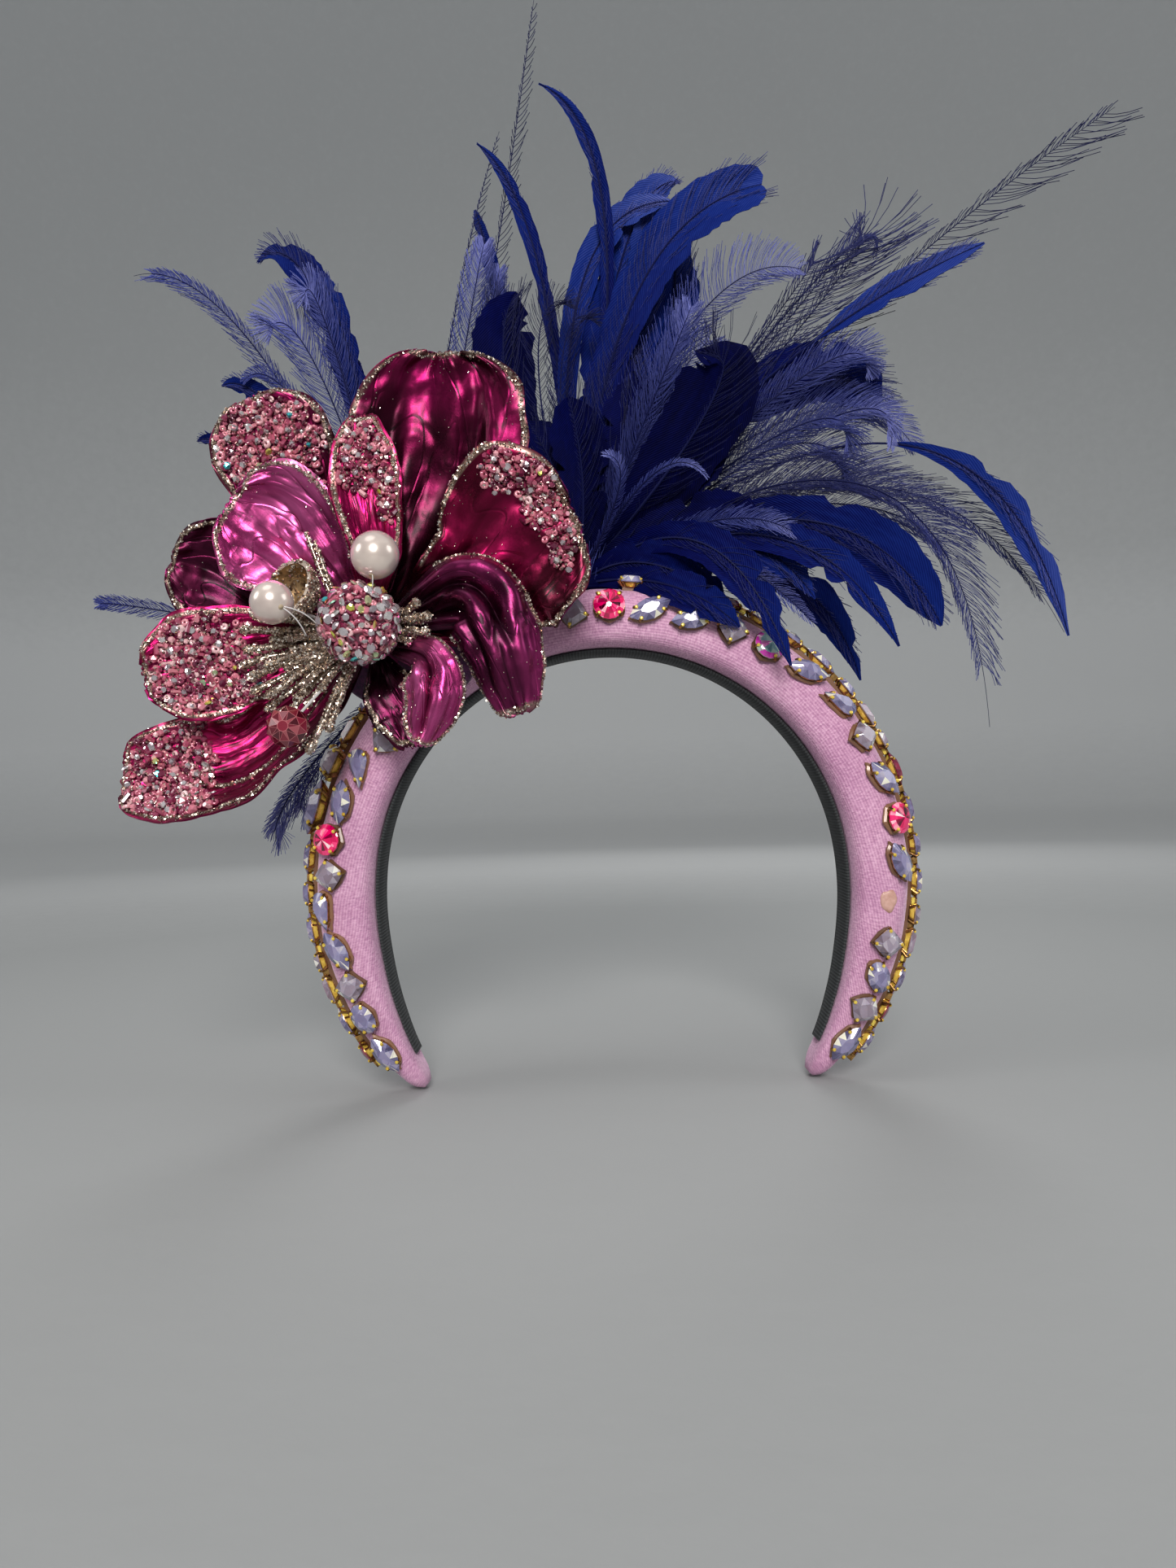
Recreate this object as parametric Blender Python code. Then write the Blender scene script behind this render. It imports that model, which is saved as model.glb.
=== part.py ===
"""Padded velvet fascinator headband with stone rows, a magnolia and a feather plume.

Millimetres in the tables, metres in the meshes. +Z is up, -Y is the wearer's front and +X is
the right of the front view. The origin is the middle of the lining's head face at the crown.
"""
import math

import bpy
import bmesh
from mathutils import Matrix, Vector

MM = 0.001
GAP = 0.3

HEAD_RADIUS = 80.0
LINING_THICKNESS = 1.0
LINING_WIDTH_SHARE = 0.5
LINING_HALF_ANGLE = 129.0
ARCH_CENTRE_Z = -HEAD_RADIUS
VELVET_INNER = HEAD_RADIUS + LINING_THICKNESS + GAP

BAND_SECTION_POINTS = 16
BAND_SECTION_COUNT = 35
BAND_HALF_ANGLE = 135.5
SECTION_CROWDING = 0.75
OUTER_ROUNDNESS = 2.3
INNER_ROUNDNESS = 4.0

# Half of the arch: degrees from the crown, then inner radius, outer radius and depth.
BAND_SECTIONS = (
    (0.0, VELVET_INNER, 102.5, 38.0),
    (45.0, VELVET_INNER, 102.5, 38.0),
    (75.0, VELVET_INNER, 102.5, 36.5),
    (90.0, VELVET_INNER + 0.3, 102.3, 34.5),
    (105.0, 83.0, 101.6, 31.0),
    (118.0, 86.2, 100.6, 26.0),
    (128.0, 89.8, 99.8, 20.0),
    (133.5, 92.0, 98.8, 15.0),
    (BAND_HALF_ANGLE, 94.0, 96.8, 8.0),
)

# Length and width of each cut over its cup.
CUTS = {
    "round": (10.8, 10.8),
    "square": (8.2, 8.2),
    "navette": (15.0, 7.4),
    "pear": (13.2, 8.6),
    "oval": (11.0, 7.6),
    "baguette": (12.0, 6.2),
}
ROUND_SIDES = 10
SETTING_HEIGHT = 2.0
GIRDLE_HEIGHT = 2.6
TABLE_HEIGHT = 4.6
CLAW_LIFT = 1.2
SEAT_SHARE = 0.8
GIRDLE_SHARE = 0.93
TABLE_SHARE = 0.56

# Rings of a stone in its cup: height, share of the outline, lift and spread at the claws.
STONE_LEVELS = (
    (0.0, SEAT_SHARE, 0.0, 0.0),
    (SETTING_HEIGHT, 1.0, CLAW_LIFT, 0.05),
    (GIRDLE_HEIGHT, GIRDLE_SHARE, CLAW_LIFT, -0.08),
    (TABLE_HEIGHT, TABLE_SHARE, 0.0, 0.0),
)
RIM_LEVELS = (
    (0.0, SEAT_SHARE, 0.0, 0.0),
    (GIRDLE_HEIGHT, 1.0, 0.0, 0.0),
    (TABLE_HEIGHT, TABLE_SHARE, 0.0, 0.0),
)

# Front row: colour, cut, degrees from the crown, radius from the arch centre, turn in degrees.
FRONT_STONES = (
    ("opal", "square", -6.7, 92.8, 25),
    ("rose", "round", 0.9, 94.0, 0),
    ("opal", "navette", 9.2, 93.4, 31),
    ("opal", "navette", 18.2, 93.4, 26),
    ("opal", "square", 26.5, 94.4, 52),
    ("aurora", "round", 34.5, 95.4, 0),
    ("opal", "navette", 43.6, 96.2, 30),
    ("opal", "pear", 52.3, 96.4, 25),
    ("opal", "square", 60.5, 96.6, 25),
    ("opal", "navette", 69.6, 96.4, 27),
    ("rose", "round", 78.0, 97.0, 0),
    ("opal", "navette", 86.6, 95.6, 23),
    ("opal", "square", 103.1, 93.6, 51),
    ("opal", "oval", 110.3, 93.8, 29),
    ("opal", "square", 117.4, 94.0, 30),
    ("opal", "navette", 125.4, 95.0, -9),
    ("opal", "square", -55.0, 91.6, 35),
    ("opal", "pear", -63.0, 93.4, 29),
    ("opal", "navette", -70.6, 94.6, 14),
    ("rose", "round", -78.6, 96.0, 0),
    ("opal", "square", -85.6, 94.4, 59),
    ("opal", "pear", -92.8, 96.4, 11),
    ("opal", "navette", -101.0, 94.4, 22),
    ("opal", "square", -108.8, 94.0, 39),
    ("opal", "oval", -115.8, 94.6, 10),
    ("opal", "navette", -124.4, 95.4, 5),
)

# Rim row: the cuts that follow each other round the outside, and the tape that carries them.
RIM_ORDER = ("oval", "navette", "square", "baguette", "navette", "round", "navette", "oval",
             "baguette", "square", "navette", "navette")
RIM_SCALE = 0.86
RIM_RADIUS = 103.0
RIM_SPACE = 1.2
RIM_START = 2.6
RIM_END = 130.0
RIM_SECTION_ANGLE = -13.0
RIM_CROWN_ANGLE = -15.0
RIM_SINK_SHARE = 0.7
TAPE_SECTIONS = 16
TAPE_HALF_WIDTH = 1.8
TAPE_THICKNESS = 0.9
TAPE_LIFT = 0.25
TAPE_START_INSET = 1.0
TAPE_END_INSET = 3.0

# Flower: the middle of its axis in the front view, then its parts from back to front.
FLOWER_X = -76.0
FLOWER_Z = 6.0
PAD_CENTRE = (-66.5, -1.0)
PAD_HALF_SIZE = (24.0, 17.5)
PAD_BACK_Y = -19.6
PAD_THICKNESS = 2.4
PAD_SIDES = 20
CALYX_PROFILE = ((-22.3, 11.0), (-26.0, 10.0), (-36.0, 8.6), (-44.6, 7.4))
COLLAR_FRONT_Y = -44.0
COLLAR_BACK_Y = -41.6
COLLAR_INNER = 8.2
COLLAR_OUTER = 10.4
FLOWER_SIDES = 12

PETAL_THICKNESS = 1.2
PETAL_ROOT_GAP = 0.45
PETAL_CELLS_ALONG = 8
PETAL_CELLS_ACROSS = 5
PETAL_TIP_ROUND = 0.32
PETAL_TIP_SHARE = 0.3

# Each petal: its root on the calyx as degrees round the axis, depth, width, curl and lean, and
# then three sections towards the tip as x, y, z of the middle, width, curl and lean.
PETALS = {
    "petal_tall_back": (
        (62, -27.6, 11.0, 20, 0),
        (-59.0, -30.0, 42.5, 46.0, 50, 0),
        (-51.5, -32.0, 71.5, 58.0, 50, 0),
        (-50.0, -35.0, 95.0, 54.0, 40, 0),
    ),
    "petal_top_left": (
        (120, -30.2, 10.0, 20, 0),
        (-96.5, -29.0, 43.5, 30.0, 40, 0),
        (-105.5, -31.0, 66.5, 40.0, 45, 0),
        (-112.0, -35.0, 82.0, 36.0, 40, 0),
    ),
    "petal_dark_left": (
        (165, -25.6, 9.0, 20, 0),
        (-109.0, -27.0, 16.0, 28.0, 30, 0),
        (-127.0, -28.0, 27.5, 36.0, 50, 0),
        (-139.5, -32.0, 32.5, 32.0, 60, 0),
    ),
    "petal_smooth_left": (
        (128, -36.0, 9.0, 20, 0),
        (-92.5, -40.0, 27.0, 32.0, 45, 0),
        (-104.0, -43.0, 38.5, 44.0, 45, 0),
        (-115.5, -47.0, 46.5, 40.0, 40, 0),
    ),
    "petal_beaded_left": (
        (191, -36.0, 9.0, 30, 0),
        (-107.0, -41.0, 0.0, 28.0, 50, 0),
        (-125.0, -44.0, -4.0, 36.0, 55, 0),
        (-144.0, -48.0, -7.0, 32.0, 50, 0),
    ),
    "petal_boat_low": (
        (233, -31.0, 9.0, 40, 20),
        (-100.0, -35.0, -24.5, 36.0, 90, 40),
        (-121.0, -40.0, -39.5, 44.0, 100, 38),
        (-153.0, -44.0, -39.0, 46.0, 80, 20),
    ),
    "petal_narrow_top": (
        (81, -38.6, 7.0, 20, 0),
        (-72.0, -42.5, 32.0, 17.0, 60, 0),
        (-73.5, -44.0, 51.0, 24.0, 80, 0),
        (-75.0, -44.0, 72.5, 18.0, 70, 0),
    ),
    "petal_wide_right": (
        (22, -31.0, 9.0, 20, 0),
        (-46.0, -37.5, 18.5, 42.0, 40, 0),
        (-29.5, -42.5, 31.0, 64.0, 50, 0),
        (-8.6, -45.0, 38.6, 57.0, 50, 0),
    ),
    "petal_curl_right": (
        (16, -37.0, 6.5, -30, 0),
        (-44.5, -50.0, 15.5, 30.0, -80, 0),
        (-34.0, -56.0, 2.0, 34.0, -130, 0),
        (-27.5, -50.0, -23.0, 30.0, -150, 0),
    ),
    "petal_curl_low": (
        (-32, -36.0, 6.0, -30, 0),
        (-55.8, -54.5, -4.4, 16.0, -80, 0),
        (-53.2, -59.0, -15.0, 23.0, -120, 0),
        (-58.5, -55.0, -31.5, 21.0, -130, 0),
    ),
    "petal_dark_low": (
        (-74, -33.0, 7.0, 20, 0),
        (-69.5, -38.0, -13.0, 18.0, 30, 0),
        (-64.5, -38.5, -21.0, 22.0, 40, 0),
        (-63.0, -40.0, -31.5, 14.0, 40, 0),
    ),
}

# Beads on wires: centre, radius and the wire's place round the collar in degrees.
BALL_CENTRE = (-75.0, -57.0, 5.7)
BALL_RADIUS = 12.0
BALL_SIDES = 16
PEARLS = {
    "pearl_left": ((-99.0, -65.0, 11.5), 6.5, 172),
    "pearl_top": ((-69.0, -60.0, 25.5), 7.3, 76),
}
WIRE_RADIUS = 0.45
ROSE_BEAD = ((-97.0, -58.5, -25.0), 6.5, 241)
CUP_MOUTH = (-97.5, -53.0, 19.0)
CUP_BOTTOM = (-93.0, -46.0, 15.0)
CUP_ROOT_ANGLE = 145
CUP_RADIUS = 9.0
CUP_WALL = 1.2
STALK_RADIUS = 0.7
BEAD_SIDES = 12

# Stamens: tip x, y, z. Each grows out of the collar behind the beaded ball.
STAMEN_TIPS = (
    (-112.5, -51.0, 5.5),
    (-111.5, -52.0, -1.0),
    (-113.5, -50.0, -5.5),
    (-110.0, -53.5, -9.5),
    (-110.0, -50.5, -14.0),
    (-104.5, -54.0, -15.5),
    (-106.0, -49.5, -19.5),
    (-92.0, -55.0, -33.0),
    (-86.5, -52.0, -26.5),
    (-57.5, -53.5, 12.0),
    (-54.0, -53.0, 8.0),
    (-54.5, -54.5, 3.0),
)
STAMEN_SINK = 0.9
STAMEN_BOW = 1.5
STAMEN_RADII = ((0.0, 1.1), (0.5, 0.8), (0.86, 0.7), (0.95, 1.3), (1.0, 0.5))

# Feathers: mid x, y, z, tip x, y, z and width. All of one plume start in its head.
PLUMES = {
    "plume_left": {
        "seat": (-39.0, 24.0),
        "head": (13.0, 8.0, 7.0),
        "feathers": (
            (-94, 8, 122, -120, 10, 146, 13),
            (-121, 12, 114, -166, 14, 144, 8),
            (-117, 14, 94, -136, 16, 104, 7),
            (-128, 16, 78, -146, 18, 85, 6),
            (-150, 6, 20, -178, 4, 24, 5),
            (-106, 6, -36, -119, 4, -61, 9),
        ),
    },
    "plume_right": {
        "seat": (-5.0, 22.0),
        "head": (15.0, 9.0, 9.0),
        "feathers": (
            (-29, 14, 150, -18, 14, 240, 3),
            (5, 4, 150, -17, 2, 202, 8),
            (-18, 9, 135, -40, 10, 186, 8),
            (-32, 14, 125, -42, 16, 165, 7),
            (-29, 2, 92, -26, 0, 126, 20),
            (14, 0, 124, 59, -6, 160, 19),
            (9, 12, 138, 32, 12, 171, 14),
            (33, 16, 108, 37, 18, 151, 17),
            (26, -4, 95, 64, -6, 123, 12),
            (60, 10, 108, 95, 10, 148, 12),
            (98, 14, 126, 191, 14, 194, 9),
            (85, 4, 104, 138, 2, 141, 9),
            (58, 12, 98, 103, 14, 88, 20),
            (33, -13, 74, 42, -20, 100, 24),
            (68, 4, 82, 111, 2, 70, 15),
            (104, -2, 70, 160, -6, 1, 8),
            (92, -8, 54, 129, -14, -30, 16),
            (98, 8, 58, 165, 10, 4, 13),
            (68, -14, 42, 112, -20, 4, 18),
            (56, -18, 36, 96, -26, -3, 12),
            (32, -22, 34, 59, -34, -9, 14),
            (58, 6, 30, 91, 8, -11, 14),
        ),
    },
}
# Levels of a plume's head: share of its height and of its length and width.
HEAD_LEVELS = ((0.0, 1.0), (0.45, 0.95), (0.85, 0.6), (1.0, 0.3))
HEAD_SIDES = 12
HEAD_HEART = 0.55
FEATHER_THICKNESS = 1.2
FEATHER_LEAST_HALF = 0.6
FEATHER_SHAPE = ((0.0, 0.2), (0.25, 0.55), (0.5, 0.95), (0.72, 1.0), (0.9, 0.55), (1.0, 0.08))
FEATHER_ROOT_SINK = 3.0

# Colour, roughness and metallic value of each finish.
FINISHES = {
    "velvet": ((0.57, 0.33, 0.52, 1.0), 0.9, 0.0),
    "lining": ((0.06, 0.07, 0.08, 1.0), 0.7, 0.0),
    "opal": ((0.30, 0.31, 0.52, 1.0), 0.15, 0.0),
    "rose": ((0.80, 0.04, 0.17, 1.0), 0.08, 0.0),
    "aurora": ((0.60, 0.35, 0.62, 1.0), 0.08, 0.2),
    "gold": ((0.72, 0.46, 0.10, 1.0), 0.25, 1.0),
    "felt": ((0.20, 0.02, 0.10, 1.0), 0.95, 0.0),
    "foil": ((0.52, 0.02, 0.26, 1.0), 0.28, 0.8),
    "pearl": ((0.80, 0.74, 0.66, 1.0), 0.2, 0.1),
    "beads": ((0.62, 0.26, 0.36, 1.0), 0.2, 0.1),
    "glitter": ((0.55, 0.46, 0.34, 1.0), 0.35, 0.9),
    "feather": ((0.02, 0.03, 0.35, 1.0), 0.6, 0.0),
}


def clear_scene():
    for item in list(bpy.data.objects):
        bpy.data.objects.remove(item, do_unlink=True)


def finish(name):
    material = bpy.data.materials.get(name)
    if material is None:
        colour, roughness, metallic = FINISHES[name]
        material = bpy.data.materials.new(name)
        material.use_nodes = True
        shader = material.node_tree.nodes["Principled BSDF"]
        shader.inputs["Base Color"].default_value = colour
        shader.inputs["Roughness"].default_value = roughness
        shader.inputs["Metallic"].default_value = metallic
        material.diffuse_color = colour
    return material


def place(name, mesh, finish_name, smooth_angle=35.0):
    item = bpy.data.objects.new(name, mesh)
    bpy.context.scene.collection.objects.link(item)
    mesh.materials.clear()
    mesh.materials.append(finish(finish_name))
    mesh.shade_smooth()
    mesh.set_sharp_from_angle(angle=math.radians(smooth_angle))
    return item


def mesh_of(name, shape):
    """Turn the closed bmesh outward and scale it from millimetres to metres."""
    bmesh.ops.recalc_face_normals(shape, faces=shape.faces)
    if shape.calc_volume(signed=True) < 0:
        bmesh.ops.reverse_faces(shape, faces=shape.faces)
    bmesh.ops.scale(shape, vec=(MM, MM, MM), verts=shape.verts)
    mesh = bpy.data.meshes.new(name)
    shape.to_mesh(mesh)
    shape.free()
    return mesh


def add_loft(shape, rings):
    """Closed body through rings that all have the same number of points."""
    rows = [[shape.verts.new(point) for point in ring] for ring in rings]
    count = len(rows[0])
    for lower, upper in zip(rows, rows[1:]):
        for index in range(count):
            after = (index + 1) % count
            shape.faces.new((lower[index], lower[after], upper[after], upper[index]))
    shape.faces.new(list(reversed(rows[0])))
    shape.faces.new(rows[-1])


def fused(name, bodies, finish_name):
    """Union of separate closed meshes in one object."""
    helpers = bpy.data.collections.new(name + "_helpers")
    main = bpy.data.objects.new(name + "_main", bodies[0])
    bpy.context.scene.collection.children.link(helpers)
    bpy.context.scene.collection.objects.link(main)
    for index, body in enumerate(bodies[1:]):
        helpers.objects.link(bpy.data.objects.new("%s_helper_%d" % (name, index), body))
    union = main.modifiers.new("Union", "BOOLEAN")
    union.operation = "UNION"
    union.operand_type = "COLLECTION"
    union.collection = helpers
    union.solver = "EXACT"
    graph = bpy.context.evaluated_depsgraph_get()
    mesh = bpy.data.meshes.new_from_object(main.evaluated_get(graph))
    for item in [main] + list(helpers.objects):
        bpy.data.objects.remove(item, do_unlink=True)
    bpy.data.collections.remove(helpers)
    return place(name, mesh, finish_name)


def smooth_row(rows, key):
    """Values of a table at key: a cubic through its rows, whose first column is the key."""
    key = max(rows[0][0], min(rows[-1][0], key))
    index = 0
    while index < len(rows) - 2 and key > rows[index + 1][0]:
        index += 1
    before = rows[max(index - 1, 0)]
    start = rows[index]
    end = rows[index + 1]
    after = rows[min(index + 2, len(rows) - 1)]
    span = end[0] - start[0]
    share = (key - start[0]) / span
    values = []
    for column in range(1, len(start)):
        rise_start = (end[column] - before[column]) / max(end[0] - before[0], 1e-9) * span
        rise_end = (after[column] - start[column]) / max(after[0] - start[0], 1e-9) * span
        cubic = 2 * share ** 3 - 3 * share ** 2 + 1
        values.append(cubic * start[column] + (1 - cubic) * end[column]
                      + (share ** 3 - 2 * share ** 2 + share) * rise_start
                      + (share ** 3 - share ** 2) * rise_end)
    return values


def linear_row(rows, key):
    for start, end in zip(rows, rows[1:]):
        if key <= end[0]:
            share = (key - start[0]) / (end[0] - start[0])
            return start[1] + (end[1] - start[1]) * share
    return rows[-1][1]


def signed_power(value, power):
    return math.copysign(abs(value) ** power, value)


def arch_point(angle, radius, depth):
    """Point at degrees from the crown, radius from the arch centre and depth along Y."""
    turn = math.radians(angle)
    return Vector((radius * math.sin(turn), depth, ARCH_CENTRE_Z + radius * math.cos(turn)))


def velvet_point(angle, section_angle):
    """Point of the padded surface. Section angle 0 is the outer rim and -90 the front."""
    inner, outer, depth = smooth_row(BAND_SECTIONS, abs(angle))
    turn = math.radians(section_angle)
    roundness = OUTER_ROUNDNESS if math.cos(turn) >= 0 else INNER_ROUNDNESS
    across = signed_power(math.cos(turn), 2 / roundness)
    along = signed_power(math.sin(turn), 2 / roundness)
    radius = (inner + outer) / 2 + (outer - inner) / 2 * across
    return arch_point(angle, radius, depth / 2 * along)


def velvet_frame(angle, section_angle):
    """Point, direction round the arch and outward normal on the padded surface."""
    step = 0.5
    here = velvet_point(angle, section_angle)
    along = velvet_point(angle + step, section_angle) - velvet_point(angle - step, section_angle)
    over = velvet_point(angle, section_angle + step) - velvet_point(angle, section_angle - step)
    normal = along.cross(over).normalized()
    if normal.dot(here - arch_point(angle, 90.0, 0.0)) < 0:
        normal = -normal
    return here, along.normalized(), normal


def section_angle_at(angle, radius):
    """Section angle on the front side at which the padded surface has this radius."""
    inner, outer, _ = smooth_row(BAND_SECTIONS, abs(angle))
    share = (radius - (inner + outer) / 2) / ((outer - inner) / 2)
    return -math.degrees(math.acos(signed_power(share, OUTER_ROUNDNESS / 2)))


def band_angles():
    """Degrees from the crown of the band's sections, closer together towards its ends."""
    last = BAND_SECTION_COUNT - 1
    return [BAND_HALF_ANGLE * math.sin(math.pi / 2 * (2 * index / last - 1) * SECTION_CROWDING)
            / math.sin(math.pi / 2 * SECTION_CROWDING) for index in range(BAND_SECTION_COUNT)]


def make_band():
    shape = bmesh.new()
    rings = []
    for angle in band_angles():
        turns = [360.0 * step / BAND_SECTION_POINTS for step in range(BAND_SECTION_POINTS)]
        rings.append([velvet_point(angle, turn) for turn in turns])
    add_loft(shape, rings)
    place("velvet_band", mesh_of("velvet_band", shape), "velvet", 60.0)


def make_lining():
    shape = bmesh.new()
    rings = []
    for angle in band_angles():
        if abs(angle) > LINING_HALF_ANGLE:
            continue
        inner, _, depth = smooth_row(BAND_SECTIONS, abs(angle))
        half = depth * LINING_WIDTH_SHARE / 2
        back = inner - GAP
        front = back - LINING_THICKNESS
        corners = ((front, -half), (front, half), (back, half), (back, -half))
        rings.append([arch_point(angle, radius, y) for radius, y in corners])
    add_loft(shape, rings)
    place("inner_lining", mesh_of("inner_lining", shape), "lining")


def cut_outline(cut):
    """Outline of a cut at unit half length and half width, with a flag where a claw holds."""
    if cut in ("round", "oval"):
        turns = [2 * math.pi * step / ROUND_SIDES for step in range(ROUND_SIDES)]
        claws = (1, 4, 6, 9)
        return [(math.cos(turn), math.sin(turn), index in claws)
                for index, turn in enumerate(turns)]
    if cut in ("square", "baguette"):
        chamfer = 0.62 if cut == "square" else 0.78
        corners = ((1, chamfer), (chamfer, 1), (-chamfer, 1), (-1, chamfer),
                   (-1, -chamfer), (-chamfer, -1), (chamfer, -1), (1, -chamfer))
        return [(x, y, index % 2 == 0) for index, (x, y) in enumerate(corners)]
    stations = (-1.0, -0.55, 0.0, 0.55, 1.0)
    if cut == "navette":
        upper = [(x, 1 - x * x, abs(abs(x) - 0.55) < 0.01) for x in stations]
    else:
        upper = [(x, math.sqrt(max(0.0, 1 - x * x)) * (0.55 + 0.45 * x), abs(x + 0.55) < 0.01
                  or abs(x - 0.55) < 0.01) for x in stations]
        upper[-1] = (1.0, 0.0, False)
    lower = [(x, -y, claw) for x, y, claw in reversed(upper[1:-1])]
    return list(reversed(upper)) + list(reversed(lower))


def stone_rings(cut, levels=STONE_LEVELS, scale=1.0):
    """Seat, cup rim, girdle and table of one stone in its cup, on the plane z = 0."""
    length, width = CUTS[cut]
    outline = cut_outline(cut)
    rings = []
    for height, share, lift, spread in levels:
        ring = []
        for x, y, claw in outline:
            grow = share + (spread if claw else 0.0)
            top = height + (lift if claw else 0.0)
            ring.append(Vector((x * length / 2 * grow, y * width / 2 * grow, top)) * scale)
        rings.append(ring)
    return rings


def seat_matrix(here, along, normal, lift, turn):
    """Stone axes: x along the arch turned in the seat's plane, z out of the surface."""
    side = normal.cross(along).normalized()
    if side.dot(here - arch_point(0.0, 0.0, 0.0)) < 0:
        side = -side
    swing = math.radians(turn)
    length_axis = along * math.cos(swing) + side * math.sin(swing)
    width_axis = normal.cross(length_axis)
    turned = Matrix((length_axis, width_axis, normal)).transposed().to_4x4()
    return Matrix.Translation(here + normal * lift) @ turned


def make_front_stones():
    counts = {}
    for colour, cut, angle, radius, turn in FRONT_STONES:
        section_angle = section_angle_at(angle, radius)
        matrix = seat_matrix(*velvet_frame(angle, section_angle), GAP, turn)
        shape = bmesh.new()
        add_loft(shape, [[matrix @ point for point in ring] for ring in stone_rings(cut)])
        kind = "%s_%s" % (colour, cut)
        counts[kind] = counts.get(kind, 0) + 1
        name = "%s_%02d" % (kind, counts[kind])
        place(name, mesh_of(name, shape), colour, 20.0)


def rim_section_angle(angle):
    crown = max(0.0, math.cos(math.radians(angle)))
    return RIM_SECTION_ANGLE + RIM_CROWN_ANGLE * crown ** 2


def rim_tape(start, end):
    shape = bmesh.new()
    rings = []
    for index in range(TAPE_SECTIONS):
        angle = start + (end - start) * index / (TAPE_SECTIONS - 1)
        here, along, normal = velvet_frame(angle, rim_section_angle(angle))
        side = normal.cross(along).normalized() * TAPE_HALF_WIDTH
        low = here + normal * (GAP + TAPE_LIFT)
        high = low + normal * TAPE_THICKNESS
        rings.append([low - side, low + side, high + side, high - side])
    add_loft(shape, rings)
    return mesh_of("rim_tape", shape)


def make_rim_row(name, direction):
    """Row of stones round the outside, each fused to the tape that it is glued on."""
    angle = RIM_START
    bodies = []
    index = 0
    while True:
        cut = RIM_ORDER[index % len(RIM_ORDER)]
        half = math.degrees(CUTS[cut][0] * RIM_SCALE / 2 / RIM_RADIUS)
        middle = angle + half
        if middle + half > RIM_END:
            break
        place_angle = direction * middle
        seat = velvet_frame(place_angle, rim_section_angle(place_angle))
        matrix = seat_matrix(*seat, GAP + TAPE_THICKNESS * RIM_SINK_SHARE, 0.0)
        shape = bmesh.new()
        rings = stone_rings(cut, RIM_LEVELS, RIM_SCALE)
        add_loft(shape, [[matrix @ point for point in ring] for ring in rings])
        bodies.append(mesh_of("rim_stone", shape))
        angle = middle + half + math.degrees(RIM_SPACE / RIM_RADIUS)
        index += 1
    tape = rim_tape(direction * (RIM_START + TAPE_START_INSET),
                    direction * (angle - TAPE_END_INSET))
    fused(name, [tape] + bodies, "gold")


def flower_point(angle, radius, depth):
    """Point at degrees round the flower's axis, at a radius and a depth."""
    turn = math.radians(angle)
    return Vector((FLOWER_X + radius * math.cos(turn), depth, FLOWER_Z + radius * math.sin(turn)))


def calyx_radius(depth):
    return linear_row([(-y, radius) for y, radius in CALYX_PROFILE], -depth)


def petal_surface(rows, along_count, across_count):
    """Points of a petal's middle surface on a grid from its root on the calyx to its tip."""
    angle, depth = rows[0][0:2]
    root = flower_point(angle, calyx_radius(depth) + PETAL_ROOT_GAP, depth)
    sections = [tuple(root) + tuple(rows[0][2:])] + list(rows[1:])
    stations = [(index / (len(sections) - 1),) + tuple(row)
                for index, row in enumerate(sections)]
    view = Vector((0.0, -1.0, 0.0))
    grid = []
    for step in range(along_count + 1):
        share = step / along_count
        x, y, z, width, curl, lean = smooth_row(stations, share)
        before = smooth_row(stations, max(0.0, share - 0.02))[:3]
        after = smooth_row(stations, min(1.0, share + 0.02))[:3]
        run = (Vector(after) - Vector(before)).normalized()
        facing = (view - run * view.dot(run)).normalized()
        side = run.cross(facing)
        swing = math.radians(lean)
        normal = facing * math.cos(swing) + side * math.sin(swing)
        across = run.cross(normal)
        late = max(0.0, (share - 1 + PETAL_TIP_ROUND) / PETAL_TIP_ROUND)
        width *= PETAL_TIP_SHARE + (1 - PETAL_TIP_SHARE) * math.sqrt(max(0.0, 1 - late * late))
        arc = math.radians(curl)
        radius = width / arc
        row = []
        for cell in range(across_count + 1):
            turn = arc * (cell / across_count - 0.5)
            offset = across * (radius * math.sin(turn)) + normal * (radius * (1 - math.cos(turn)))
            row.append(Vector((x, y, z)) + offset)
        grid.append(row)
    return grid


def grid_normals(grid):
    normals = []
    last_row = len(grid) - 1
    last_column = len(grid[0]) - 1
    for row in range(last_row + 1):
        line = []
        for column in range(last_column + 1):
            along = grid[min(row + 1, last_row)][column] - grid[max(row - 1, 0)][column]
            over = grid[row][min(column + 1, last_column)] - grid[row][max(column - 1, 0)]
            line.append(along.cross(over).normalized())
        normals.append(line)
    return normals


def make_petal(name, rows):
    """Thin shell: the middle surface moved half the thickness to both sides, edges closed."""
    grid = petal_surface(rows, PETAL_CELLS_ALONG, PETAL_CELLS_ACROSS)
    normals = grid_normals(grid)
    shape = bmesh.new()
    faces = []
    for direction in (0.5, -0.5):
        offset = PETAL_THICKNESS * direction
        faces.append([[shape.verts.new(point + normal * offset)
                       for point, normal in zip(points, line)]
                      for points, line in zip(grid, normals)])
    top, bottom = faces
    for row in range(PETAL_CELLS_ALONG):
        for column in range(PETAL_CELLS_ACROSS):
            for sheet in (top, bottom):
                shape.faces.new((sheet[row][column], sheet[row][column + 1],
                                 sheet[row + 1][column + 1], sheet[row + 1][column]))
        for column in (0, PETAL_CELLS_ACROSS):
            shape.faces.new((top[row][column], top[row + 1][column],
                             bottom[row + 1][column], bottom[row][column]))
    for column in range(PETAL_CELLS_ACROSS):
        for row in (0, PETAL_CELLS_ALONG):
            shape.faces.new((top[row][column], top[row][column + 1],
                             bottom[row][column + 1], bottom[row][column]))
    place(name, mesh_of(name, shape), "foil", 50.0)


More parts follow.
